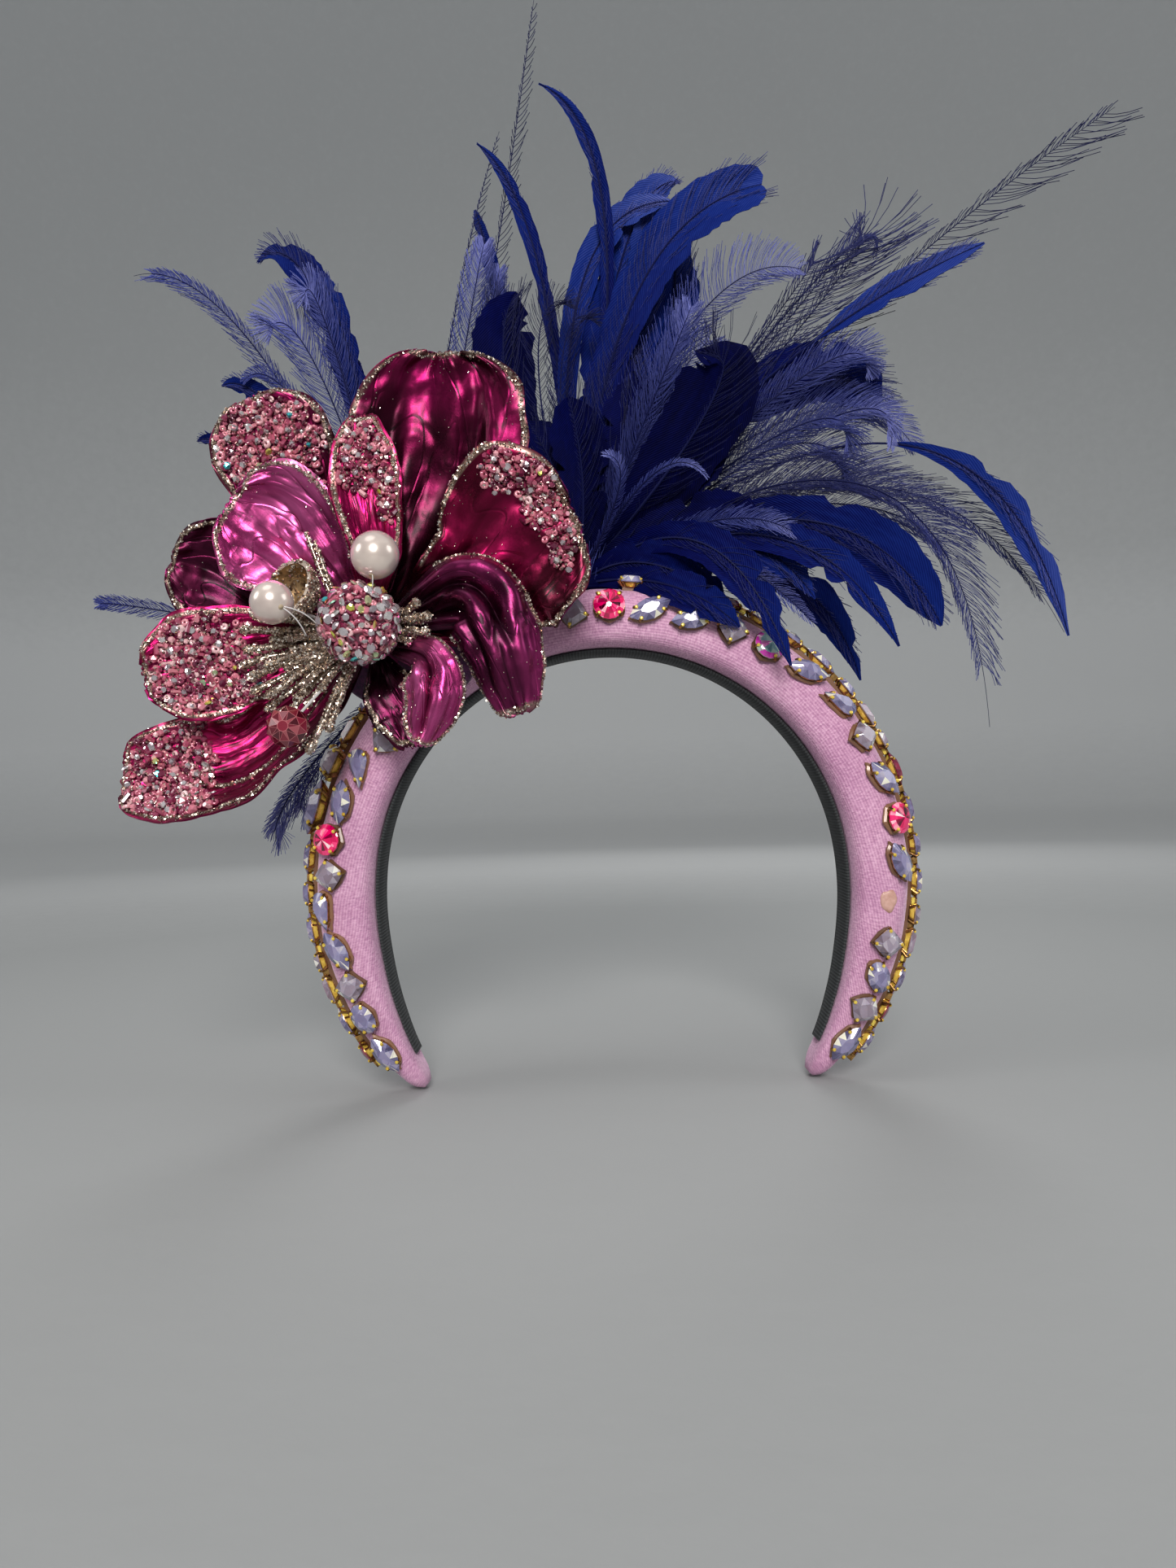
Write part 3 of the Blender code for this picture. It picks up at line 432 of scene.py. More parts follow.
def make_finishes():
    FINISHES.update({key: paint_stone(*row) for key, row in GLASS.items()})
    FINISHES.update({key: paint_foil(*row) for key, row in FOILS.items()})
    FINISHES.update({
        "velvet": paint_velvet(),
        "ribbon": paint_ribbon(),
        "gold": paint_gold("claw_bronze", (0.07, 0.035, 0.015), (0.46, 0.27, 0.09)),
        "foil_back": paint_gold("stone_foil", (0.60, 0.36, 0.03), (1.0, 0.78, 0.14), 0.16, 0.4),
        "cup_gold": paint_gold("cup_gold", (0.10, 0.055, 0.03), (0.46, 0.30, 0.15), 0.38, 0.9),
        "felt": paint_mottled("dark_felt", (0.05, 0.008, 0.035), FELT_TONES, 0.95, 0.0,
                              (900.0, 4.0, 0.7), (0.7, 0.0004), Sheen_Weight=0.4),
        "dry_glue": paint_mottled("dry_glue", (0.56, 0.32, 0.24), DRY_GLUE_TONES, 0.45, 0.0,
                                  (500.0,), (0.3, 0.0003), Coat_Weight=0.2),
        "pearl": paint_mottled("pearl_lacquer", (0.74, 0.63, 0.56), PEARL_TONES, 0.24, 0.45,
                               (130.0, 2.0), Coat_Weight=1.0, Coat_Roughness=0.05,
                               Sheen_Weight=0.15, Sheen_Tint=(0.85, 0.8, 1.0, 1.0)),
        "glue": paint_toned("amber_glue", 0.35, 0.1, GLUE_TONES, Coat_Weight=0.3),
        "beads": paint_toned("rosy_beads", 0.08, 0.15, BEAD_TONES, IOR=1.6, Coat_Weight=1.0,
                             Coat_Roughness=0.03),
        "rose_crystal": paint_toned("rose_crystal", 0.05, 0.0, ROSE_BEAD_TONES, IOR=1.5,
                                    Coat_Weight=0.4, Coat_Roughness=0.02),
        "sparks": paint_toned("rainbow_sequins", 0.1, 0.8, SEQUIN_TONES),
        "glitter": paint_toned("champagne_glitter", 0.22, 0.92, GLITTER_TONES),
        "vane": paint_vane(),
        "barbs": paint_toned("royal_barbs", 0.5, 0.0, BARB_BLUES, Specular_IOR_Level=0.2),
        "stem": Finish("dark_stem", (0.006, 0.008, 0.05), 0.5, Specular_IOR_Level=0.1).material,
        "wire": Finish("clear_wire", (0.55, 0.53, 0.52), 0.12, IOR=1.5).material,
        "hole": Finish("pearl_hole", (0.42, 0.33, 0.22), 0.6).material,
    })


# Meshes


def write(mesh, name, values, domain="POINT", kind="FLOAT"):
    """Named attribute with a value for each point or face."""
    layer = mesh.attributes.new(name, kind, domain)
    layer.data.foreach_set("vector" if kind == "FLOAT_VECTOR" else "value", values)


class Build:
    """Points in millimetres and faces of closed bodies, with a finish and a tone for each face."""

    def __init__(self):
        self.points = []
        self.faces = []
        self.slots = []
        self.tones = []
        self.flow = []
        self.inside = []

    def add(self, body, slot=0, tone=0.5, flow=None, inside=None):
        """Adds a closed body, with its faces turned outwards."""
        points, faces = body
        start = len(self.points)
        array = np.array([tuple(point) for point in points], float)
        volume = sum(float(np.dot(array[face[0]], np.cross(array[second], array[third])))
                     for face in faces for second, third in zip(face[1:], face[2:]))
        self.points += map(tuple, array)
        self.faces += [[start + index for index in (face if volume > 0 else face[::-1])]
                       for face in faces]
        self.slots += [slot] * len(faces)
        self.tones += tone if isinstance(tone, list) else [tone] * len(faces)
        self.flow += flow or [(0.0, 0.0)] * len(points)
        self.inside += inside or [1.0] * len(points)

    def mesh(self, name, finishes, smooth):
        mesh = bpy.data.meshes.new(name)
        mesh.from_pydata((np.array(self.points) * MM).tolist(), [], self.faces)
        mesh.update()
        for finish in finishes:
            mesh.materials.append(FINISHES[finish])
        mesh.polygons.foreach_set("material_index", self.slots)
        write(mesh, "tone", self.tones, "FACE")
        write(mesh, "inside", self.inside)
        corners = np.zeros(len(mesh.loops), int)
        mesh.loops.foreach_get("vertex_index", corners)
        flow = mesh.uv_layers.new(name="flow")
        flow.data.foreach_set("uv", np.array(self.flow, float)[corners].ravel())
        mesh.shade_smooth()
        if smooth < ALL_SMOOTH:
            mesh.set_sharp_from_angle(angle=math.radians(smooth))
        return mesh

    def show(self, name, finishes, smooth, slot, replaces=()):
        return show(name, self.mesh(name, finishes, smooth), replaces)


def show(name, mesh, replaces=()):
    """New piece that rides on the part and stands for the named nodes."""
    piece = new_object(name, mesh)
    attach(piece, BODY)
    if replaces:
        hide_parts(*replaces)
    return piece


def loft(rings, caps=True, ring_closed=False):
    """Body through rings of points; ring_closed joins the last ring to the first."""
    points = [point for ring in rings for point in ring]
    count = len(rings[0])
    faces = []
    for row, following in pairs(len(rings))[:len(rings) if ring_closed else -1]:
        lower = row * count
        upper = following * count
        faces += [[lower + index, lower + after, upper + after, upper + index]
                  for index, after in pairs(count)]
    if caps and not ring_closed:
        faces += [list(range(count))[::-1], list(range(len(points) - count, len(points)))]
    return points, faces


def circle(centre, side, up, radius, sides):
    return [centre + (side * math.cos(turn) + up * math.sin(turn)) * radius
            for turn in turns(sides)]


def tube(path, radii, sides):
    """Closed tube along a path, with its side direction carried from point to point."""
    rings = []
    side = None
    for index, point in enumerate(path):
        run = (path[min(index + 1, len(path) - 1)] - path[max(index - 1, 0)]).normalized()
        side = side or run.orthogonal().normalized()
        side = (side - run * side.dot(run)).normalized()
        rings.append(circle(point, side, run.cross(side), radii[index], sides))
    return loft(rings)


def ball(centre, radius, sides, squash=1.0):
    centre = Vector(centre)
    rows = sides // 2
    rings = [[centre + Vector((radius * math.sin(polar) * math.cos(turn),
                               radius * math.sin(polar) * math.sin(turn),
                               radius * math.cos(polar) * squash)) for turn in turns(sides)]
             for polar in (math.pi * row / rows for row in range(1, rows))]
    points, faces = loft(rings, caps=False)
    top = len(points)
    height = Vector((0, 0, radius * squash))
    last = top - sides
    for step, after in pairs(sides):
        faces += [[after, step, top], [last + step, last + after, top + 1]]
    return points + [centre + height, centre - height], faces


def bend_curve(first, bend, last, count):
    """Points on a quadratic curve that is drawn towards its bend."""
    return [first * (1 - share) ** 2 + bend * 2 * share * (1 - share) + last * share ** 2
            for share in (step / count for step in range(count + 1))]


def curve_through(first, middle, last, count):
    """Points on a quadratic curve that passes its middle point half way."""
    return bend_curve(first, middle * 2 - (first + last) / 2, last, count)


def smooth_row(rows, key):
    """Values of a table at key: a cubic through its rows, whose first column is the key."""
    key = max(rows[0][0], min(rows[-1][0], key))
    index = 0
    while index < len(rows) - 2 and key > rows[index + 1][0]:
        index += 1
    before, start, end, after = (rows[max(0, min(index + shift, len(rows) - 1))]
                                 for shift in (-1, 0, 1, 2))
    span = end[0] - start[0]
    share = (key - start[0]) / span
    cubic = 2 * share ** 3 - 3 * share ** 2 + 1
    values = []
    for column in range(1, len(start)):
        rise_start = (end[column] - before[column]) / max(end[0] - before[0], 1e-9) * span
        rise_end = (after[column] - start[column]) / max(after[0] - start[0], 1e-9) * span
        values.append(cubic * start[column] + (1 - cubic) * end[column]
                      + (share ** 3 - 2 * share ** 2 + share) * rise_start
                      + (share ** 3 - share ** 2) * rise_end)
    return values


def linear_row(rows, key):
    for start, end in zip(rows, rows[1:]):
        if key <= end[0]:
            share = max(0.0, (key - start[0]) / (end[0] - start[0]))
            return start[1] + (end[1] - start[1]) * share
    return rows[-1][1]


# Geometry Nodes


class Net:
    """Geometry Nodes tree with named inputs besides its geometry."""

    def __init__(self, name, sockets):
        self.tree = bpy.data.node_groups.new(name, "GeometryNodeTree")
        face = self.tree.interface
        face.new_socket("Geometry", in_out="INPUT", socket_type="NodeSocketGeometry")
        self.keys = {label: face.new_socket(label, in_out="INPUT",
                                            socket_type="NodeSocket" + kind).identifier
                     for label, kind in sockets}
        face.new_socket("Geometry", in_out="OUTPUT", socket_type="NodeSocketGeometry")
        self.given = self.tree.nodes.new("NodeGroupInput").outputs
        self.result = self.tree.nodes.new("NodeGroupOutput").inputs

    def out(self, kind, inputs=None, output=0, **settings):
        return add_node(self.tree, kind, inputs, **settings).outputs[output]

    def math(self, operation, first, second):
        return self.out("ShaderNodeMath", {0: first, 1: second}, operation=operation)

    def read(self, name, data_type="FLOAT"):
        made = add_node(self.tree, "GeometryNodeInputNamedAttribute", {"Name": name},
                        data_type=data_type)
        return next(socket for socket in made.outputs if socket.name == "Attribute"
                    and socket.enabled)

    def number(self, low, high, offset):
        """Random number for each point; the offset keeps draws of one tree apart."""
        seed = self.math("ADD", self.given["Seed"], offset)
        return self.out("FunctionNodeRandomValue", {2: low, 3: high, 8: seed}, 1)

    def tone(self, placed, value):
        """Tone of each instance, which its faces keep."""
        return self.out("GeometryNodeStoreNamedAttribute",
                        {"Geometry": placed, "Name": "tone", "Value": value},
                        data_type="FLOAT", domain="INSTANCE")

    def end(self, geometry):
        """Every tree ends in Realize Instances and Set Material."""
        real = self.out("GeometryNodeRealizeInstances", {0: geometry})
        painted = self.out("GeometryNodeSetMaterial", {0: real, 2: self.given["Material"]})
        self.tree.links.new(painted, self.result[0])

    def run(self, name, mesh, values):
        holder = new_object(name + "_source", mesh)
        modifier = holder.modifiers.new(self.tree.name, "NODES")
        modifier.node_group = self.tree
        for label, value in values.items():
            modifier[self.keys[label]] = value
        bpy.context.view_layer.update()
        graph = bpy.context.evaluated_depsgraph_get()
        made = bpy.data.meshes.new_from_object(holder.evaluated_get(graph))
        made.name = name
        holder.modifiers.remove(modifier)
        bpy.data.objects.remove(holder)
        return made


def seed_bead(net):
    """Round rocaille with its hole."""
    ring, wall = (net.out("GeometryNodeCurvePrimitiveCircle", {
        "Resolution": sides, "Radius": net.math("MULTIPLY", net.given["Size"], share)})
        for sides, share in ((8, 0.62), (5, 0.42)))
    body = net.out("GeometryNodeCurveToMesh", {"Curve": ring, "Profile Curve": wall})
    return net.out("GeometryNodeSetShadeSmooth", {0: body})


# Small shapes besides the seed bead: node, fixed inputs and shares of the size.
SMALL_SHAPES = {
    "bugle": ("GeometryNodeMeshCylinder", {"Vertices": 6}, {"Radius": 0.5, "Depth": 2.1}),
    "facet": ("GeometryNodeMeshIcoSphere", {"Subdivisions": 1}, {"Radius": 0.95}),
    "sequin": ("GeometryNodeMeshCone", {"Vertices": 8},
               {"Radius Top": 0.6, "Radius Bottom": 1.0, "Depth": 0.3}),
    "chip": ("GeometryNodeMeshCone", {"Vertices": 4, "Radius Top": 0.0},
             {"Radius Bottom": 1.0, "Depth": 1.0}),
}
POINT_DENSITY = 9.0e6


def small_shape(net, name):
    """Shape from the table below, or a seed bead."""
    if name == "seed_bead":
        return seed_bead(net)
    kind, inputs, shares = SMALL_SHAPES[name]
    sizes = {label: net.math("MULTIPLY", net.given["Size"], share)
             for label, share in shares.items()}
    return net.out(kind, {**inputs, **sizes})


def cover_net(name, shapes, tilt):
    """Small shapes strewn on a surface where the attribute named Cover allows them."""
    net = Net(name, (("Cover", "String"), ("Spacing", "Float"), ("Size", "Float"),
                     ("Lift", "Float"), ("Seed", "Int"), ("Material", "Material")))
    strewn = add_node(net.tree, "GeometryNodeDistributePointsOnFaces", {
        "Mesh": net.given["Geometry"], "Distance Min": net.given["Spacing"],
        "Density Max": POINT_DENSITY, "Density Factor": net.read(net.given["Cover"]),
        "Seed": net.given["Seed"]}, distribute_method="POISSON").outputs
    rise = net.out("ShaderNodeVectorMath", {0: strewn["Normal"], "Scale": net.given["Lift"]},
                   operation="SCALE")
    lifted = net.out("GeometryNodeSetPosition", {"Geometry": strewn["Points"], "Offset": rise})
    spin = net.out("ShaderNodeCombineXYZ", {0: net.number(-tilt, tilt, 11),
                                            1: net.number(-tilt, tilt, 12),
                                            2: net.number(0.0, 6.28, 13)})
    swing = net.out("FunctionNodeEulerToRotation", {0: spin})
    turned = net.out("FunctionNodeRotateRotation", {"Rotation": strewn["Rotation"],
                                                    "Rotate By": swing}, rotation_space="LOCAL")
    choice = add_node(net.tree, "GeometryNodeJoinGeometry")
    for shape in reversed(shapes):
        instance = net.out("GeometryNodeGeometryToInstance", {0: small_shape(net, shape)})
        net.tree.links.new(instance, choice.inputs[0])
    pick = net.out("FunctionNodeRandomValue", {4: 0, 5: len(shapes) - 1, 8: net.given["Seed"]},
                   2, data_type="INT")
    placed = net.out("GeometryNodeInstanceOnPoints", {
        "Points": lifted, "Instance": choice.outputs[0], "Pick Instance": True,
        "Instance Index": pick, "Rotation": turned, "Scale": net.number(0.75, 1.3, 14)})
    net.end(net.tone(placed, net.number(0.0, 1.0, 15)))
    return net


def strew(net, kind, label, mesh, spacing, size, lift, seed, cover="cover"):
    """Small shapes of one kind on a mesh, shown as a piece of their own if there are any."""
    made = net.run(label, mesh, {"Cover": cover, "Spacing": spacing, "Size": size, "Lift": lift,
                                 "Seed": seed, "Material": FINISHES[kind]})
    if len(made.vertices):
        show(label, made)


def barb_net():
    """Thin tapered strands from the stem's points, turned and scaled as the points say."""
    net = Net("feather_barbs", (("Strand radius", "Float"), ("Bend", "Float"), ("Droop", "Float"),
                                ("Segments", "Int"), ("Material", "Material")))
    line = net.out("GeometryNodeMeshLine", {"Count": net.given["Segments"], "Offset": (1, 0, 0)},
                   mode="END_POINTS")
    along = net.out("ShaderNodeSeparateXYZ", {0: net.out("GeometryNodeInputPosition")})
    square = net.math("POWER", along, 2.0)
    shift = net.out("ShaderNodeCombineXYZ", {1: net.math("MULTIPLY", square, net.given["Bend"]),
                                             2: net.math("MULTIPLY", square, net.given["Droop"])})
    bowed = net.out("GeometryNodeSetPosition", {"Geometry": line, "Offset": shift})
    strand = net.out("GeometryNodeMeshToCurve", {"Mesh": bowed})
    placed = net.out("GeometryNodeInstanceOnPoints", {
        "Points": net.given["Geometry"], "Instance": strand,
        "Rotation": net.read("turn", "FLOAT_VECTOR"), "Scale": net.read("reach")})
    real = net.out("GeometryNodeRealizeInstances", {0: net.tone(placed, net.read("shade"))})
    factor = net.out("GeometryNodeSplineParameter", None, "Factor")
    taper = net.out("ShaderNodeMapRange", {"Value": factor, "To Min": 1.0, "To Max": 0.25})
    sized = net.out("GeometryNodeSetCurveRadius", {"Curve": real, "Radius": taper})
    profile = net.out("GeometryNodeCurvePrimitiveCircle", {"Resolution": 3,
                                                           "Radius": net.given["Strand radius"]})
    net.end(net.out("GeometryNodeCurveToMesh", {"Curve": sized, "Profile Curve": profile,
                                                "Fill Caps": True}))
    return net


# Band

HEAD_RADIUS = 80.0
LINING_THICKNESS = 1.0
GAP = 0.3
ARCH_CENTRE_Z = -HEAD_RADIUS
VELVET_INNER = HEAD_RADIUS + LINING_THICKNESS + GAP
BAND_HALF_ANGLE = 135.5
LINING_HALF_ANGLE = 129.0
OUTER_ROUNDNESS = 2.3
INNER_ROUNDNESS = 4.0
BAND_SECTIONS = (
    (0.0, VELVET_INNER, 102.5, 38.0),
    (45.0, VELVET_INNER, 102.5, 38.0),
    (75.0, VELVET_INNER, 102.5, 36.5),
    (90.0, VELVET_INNER + 0.3, 102.3, 34.5),
    (105.0, 83.0, 101.6, 31.0),
    (118.0, 86.2, 100.6, 26.0),
    (128.0, 89.8, 99.8, 20.0),
    (133.5, 92.0, 98.8, 15.0),
    (BAND_HALF_ANGLE, 94.0, 96.8, 8.0),
)
BAND_RINGS = 220
BAND_RING_POINTS = 56
GLUE_SPOT = (94.6, 92.7, 2.8, 3.8)
LINING_RINGS = 180
SECTION_MIDDLE = 92.0


def signed_power(value, power):
    return math.copysign(abs(value) ** power, value)


def arch_point(angle, radius, depth=0.0):
    turn = math.radians(angle)
    return Vector((radius * math.sin(turn), depth, ARCH_CENTRE_Z + radius * math.cos(turn)))


def velvet_point(angle, section_angle):
    """Point of the padded surface. Section angle 0 is the outer rim and -90 the front."""
    inner, outer, depth = smooth_row(BAND_SECTIONS, abs(angle))
    turn = math.radians(section_angle)
    roundness = OUTER_ROUNDNESS if math.cos(turn) >= 0 else INNER_ROUNDNESS
    across = signed_power(math.cos(turn), 2 / roundness)
    along = signed_power(math.sin(turn), 2 / roundness)
    radius = (inner + outer) / 2 + (outer - inner) / 2 * across
    return arch_point(angle, radius, depth / 2 * along)


def velvet_frame(angle, section_angle):
    """Point, direction round the arch and outward normal on the padded surface."""
    step = 0.5
    here = velvet_point(angle, section_angle)
    along = velvet_point(angle + step, section_angle) - velvet_point(angle - step, section_angle)
    over = velvet_point(angle, section_angle + step) - velvet_point(angle, section_angle - step)
    normal = along.cross(over).normalized()
    if normal.dot(here - arch_point(angle, SECTION_MIDDLE)) < 0:
        normal = -normal
    return here, along.normalized(), normal


def section_angle_at(angle, radius):
    inner, outer, _ = smooth_row(BAND_SECTIONS, abs(angle))
    share = (radius - (inner + outer) / 2) / ((outer - inner) / 2)
    return -math.degrees(math.acos(signed_power(share, OUTER_ROUNDNESS / 2)))


def arch_steps(half_angle, count):
    """Angles of even steps from one end of the arch to the other."""
    return [half_angle * (2 * index / count - 1) for index in range(count + 1)]


def show_body(name, body, finish, slot, replaces=(), tone=0.5, flow=None):
    """Piece of one body in one finish."""
    build = Build()
    build.add(body, tone=tone, flow=flow)
    return build.show(name, (finish,), SOFT_EDGE, slot, replaces)


def make_velvet():
    """Padded arch with slight dents in its pile."""
    rings = []
    flow = []
    for angle in arch_steps(BAND_HALF_ANGLE, BAND_RINGS):
        ring = []
        girth = 0.0
        for step in range(BAND_RING_POINTS):
            section_angle = 360.0 * step / BAND_RING_POINTS
            here = velvet_point(angle, section_angle)
            out = (here - arch_point(angle, SECTION_MIDDLE)).normalized()
            dent = noise.noise(here * 0.09) * 0.35 + noise.noise(here * 0.5) * 0.06
            inner = math.cos(math.radians(section_angle)) < -0.6
            ring.append(here + out * (dent * (0.2 if inner else 1.0) - 0.12))
            girth += (ring[-1] - ring[-2]).length if step else 0.0
            flow.append((angle * 1.6, girth))
        rings.append(ring)
    piece = show_body("velvet_padded_band", loft(rings), "velvet", "velvet", ("velvet_band",),
                      flow=flow)


def make_lining():
    """Ribbed ribbon with soft edges under the arch."""
    rings = []
    flow = []
    for angle in arch_steps(LINING_HALF_ANGLE, LINING_RINGS):
        inner, _, depth = smooth_row(BAND_SECTIONS, abs(angle))
        half = depth / 4
        back = inner - GAP
        front = back - LINING_THICKNESS
        profile = ((front, -half + 0.4), (front, 0.0), (front, half - 0.4), (front + 0.3, half),
                   (back, half), (back, 0.0), (back, -half), (front + 0.3, -half))
        rings.append([arch_point(angle, radius, y) for radius, y in profile])
        flow += [(angle * 1.4, y) for _, y in profile]
    show_body("ribbed_lining", loft(rings), "ribbon", "lining", ("inner_lining",), flow=flow)


def make_glue_spot():
    """Dried glue where a stone has come off."""
    angle, radius, half_along, half_across = GLUE_SPOT
    here, along, normal = velvet_frame(angle, section_angle_at(angle, radius))
    over = normal.cross(along)
    rings = []
    for level, share in ((0.0, 1.0), (0.25, 0.96), (0.38, 0.7), (0.42, 0.3)):
        ring = []
        for turn in turns(28):
            edge = 1.0 + 0.07 * math.sin(3 * turn + 1.0) + 0.05 * math.sin(5 * turn)
            ring.append(here + along * (half_across * share * edge * math.cos(turn))
                        + over * (half_along * share * edge * math.sin(turn))
                        + normal * (level - 0.05))
        rings.append(ring)
    show_body("dried_glue_spot", loft(rings), "dry_glue", "velvet", tone=0.9)


# Stones

CUTS = {
    "round": (10.8, 10.8),
    "square": (8.2, 8.2),
    "navette": (15.0, 7.4),
    "pear": (13.2, 8.6),
    "oval": (11.0, 7.6),
    "baguette": (12.0, 6.2),
}
FRONT_STONES = (
    ("opal", "square", -6.7, 92.8, 25),
    ("rose", "round", 0.9, 94.0, 0),
    ("opal", "navette", 9.2, 93.4, 31),
    ("opal", "navette", 18.2, 93.4, 26),
    ("opal", "square", 26.5, 94.4, 52),
    ("aurora", "round", 34.5, 95.4, 0),
    ("opal", "navette", 43.6, 96.2, 30),
    ("opal", "pear", 52.3, 96.4, 25),
    ("opal", "square", 60.5, 96.6, 25),
    ("opal", "navette", 69.6, 96.4, 27),
    ("rose", "round", 78.0, 97.0, 0),
    ("opal", "navette", 86.6, 95.6, 23),
    ("opal", "square", 103.1, 93.6, 51),
    ("opal", "oval", 110.3, 93.8, 29),
    ("opal", "square", 117.4, 94.0, 30),
    ("opal", "navette", 125.4, 95.0, -9),
    ("opal", "square", -55.0, 91.6, 35),
    ("opal", "pear", -63.0, 93.4, 29),
    ("opal", "navette", -70.6, 94.6, 14),
    ("rose", "round", -78.6, 96.0, 0),
    ("opal", "square", -85.6, 94.4, 59),
    ("opal", "pear", -92.8, 96.4, 11),
    ("opal", "navette", -101.0, 94.4, 22),
    ("opal", "square", -108.8, 94.0, 39),
    ("opal", "oval", -115.8, 94.6, 10),
    ("opal", "navette", -124.4, 95.4, 5),
)
RIM_ORDER = ("oval", "navette", "square", "baguette", "navette", "round", "navette", "oval",
             "baguette", "square", "navette", "navette")
RIM_SCALE = 0.86
RIM_RADIUS = 103.0
RIM_SPACE = 1.2
RIM_START = 2.6
RIM_END = 130.0
RIM_FACING = (56.0, 74.0)
RIM_FACING_SCALE = 1.3
RIM_FACING_TURN = 20
TAPE_LIFT = 0.25
TAPE_SINK = 0.5
TAPE_THICKNESS = 0.9
TAPE_HALF_WIDTH = 1.8
GIRDLE_LOW = 2.2
GIRDLE_HIGH = 2.7
TABLE_HEIGHT = 4.6
FACET_EDGE = 24.0
GIRDLE_SIDES = 16
# Tone of a facet that carries a painted glint.
GLINT_TONE = 1.15

# Finishes of a stone's setting, by their places on its mesh.
GOLD_SLOT = 1
FOIL_SLOT = 2
GLUE_SLOT = 3

# Prongs: directions in degrees for the cuts that differ from the round one, and levels.
CLAW_TURNS = {"round": (45, 135, 225, 315), "oval": (38, 142, 218, 322),
              "navette": (52, 128, 232, 308), "pear": (40, 128, 232, 320)}
CLAW_LEVELS = ((0.2, 0.72), (1.4, 0.92), (2.4, 1.05), (3.1, 1.0), (3.5, 0.88))


def outline(cut, count, shift=0.0):
    """Points round a cut at unit half length and width."""
    points = []
    for step in range(count):
        turn = 2 * math.pi * (step + shift) / count
        x = math.cos(turn)
        y = math.sin(turn)
        if cut in ("square", "baguette"):
            power = 2 / (5.0 if cut == "square" else 8.0)
            x, y = signed_power(x, power), signed_power(y, power)
        elif cut == "navette":
            y = signed_power(y, 1.0) * (1 - x * x) ** 0.25 * abs(y) ** 0.35
        elif cut == "pear":
            y = y * (0.58 + 0.42 * x) * (1.08 if x > 0 else 1.0)
        points.append((x, y))
    return points


def gem_body(ring, cut, draw):
    """Crown over a girdle with triangular facets round a table, and a tone for each facet that
    paints its reflection.
    """
    count = GIRDLE_SIDES
    facets = count // 2
    points = (ring(0.97, GIRDLE_LOW, count) + ring(1.0, GIRDLE_HIGH, count)
              + ring(0.48 if cut == "navette" else 0.56, TABLE_HEIGHT, facets, 0.5))
    faces = [list(range(count))[::-1]]
    faces += [[step, after, count + after, count + step] for step, after in pairs(count)]
    tones = [0.3] + [0.35] * count
    for step, after in pairs(facets):
        here = count + 2 * step
        following = count + 2 * after
        corner = 2 * count + step
        faces += [[here, here + 1, corner], [here + 1, following, corner],
                  [corner, following, 2 * count + after]]
        tones += [draw.uniform(0.1, 0.7), draw.uniform(0.15, 0.75), draw.uniform(0.3, 0.85)]
    faces.append([2 * count + step for step in range(facets)])
    tones.append(draw.uniform(0.45, 0.7))
    # Two facets get a painted glint.
    for _ in range(2):
        tones[draw.randrange(count + 1, len(tones) - 1)] = GLINT_TONE
    return points, faces, tones


def star_body(ring, draw):
    """Pointed front of a round stone: wedge facets that meet in the middle."""
    count = GIRDLE_SIDES
    points = (ring(0.98, GIRDLE_LOW, count) + ring(0.98, GIRDLE_HIGH, count)
              + ring(0.98 * 0.72, TABLE_HEIGHT - 0.9, count)
              + [Vector((0.0, 0.0, TABLE_HEIGHT + 0.1))])
    faces = [list(range(count))[::-1]]
    tones = [0.2]
    # Each wedge's tone paints its reflection; one wedge gets a painted glint.
    wedge = [draw.choice((0.1, 0.25, 0.3, 0.6, 0.85)) for _ in range(count)]
    wedge[count // 2 + 2] = GLINT_TONE
    for step, after in pairs(count):
        faces += [[step, after, count + after, count + step],
                  [count + step, count + after, 2 * count + after, 2 * count + step],
                  [2 * count + step, 2 * count + after, 3 * count]]
        tones += [0.5, draw.uniform(0.45, 0.95), wedge[step]]
    return points, faces, tones


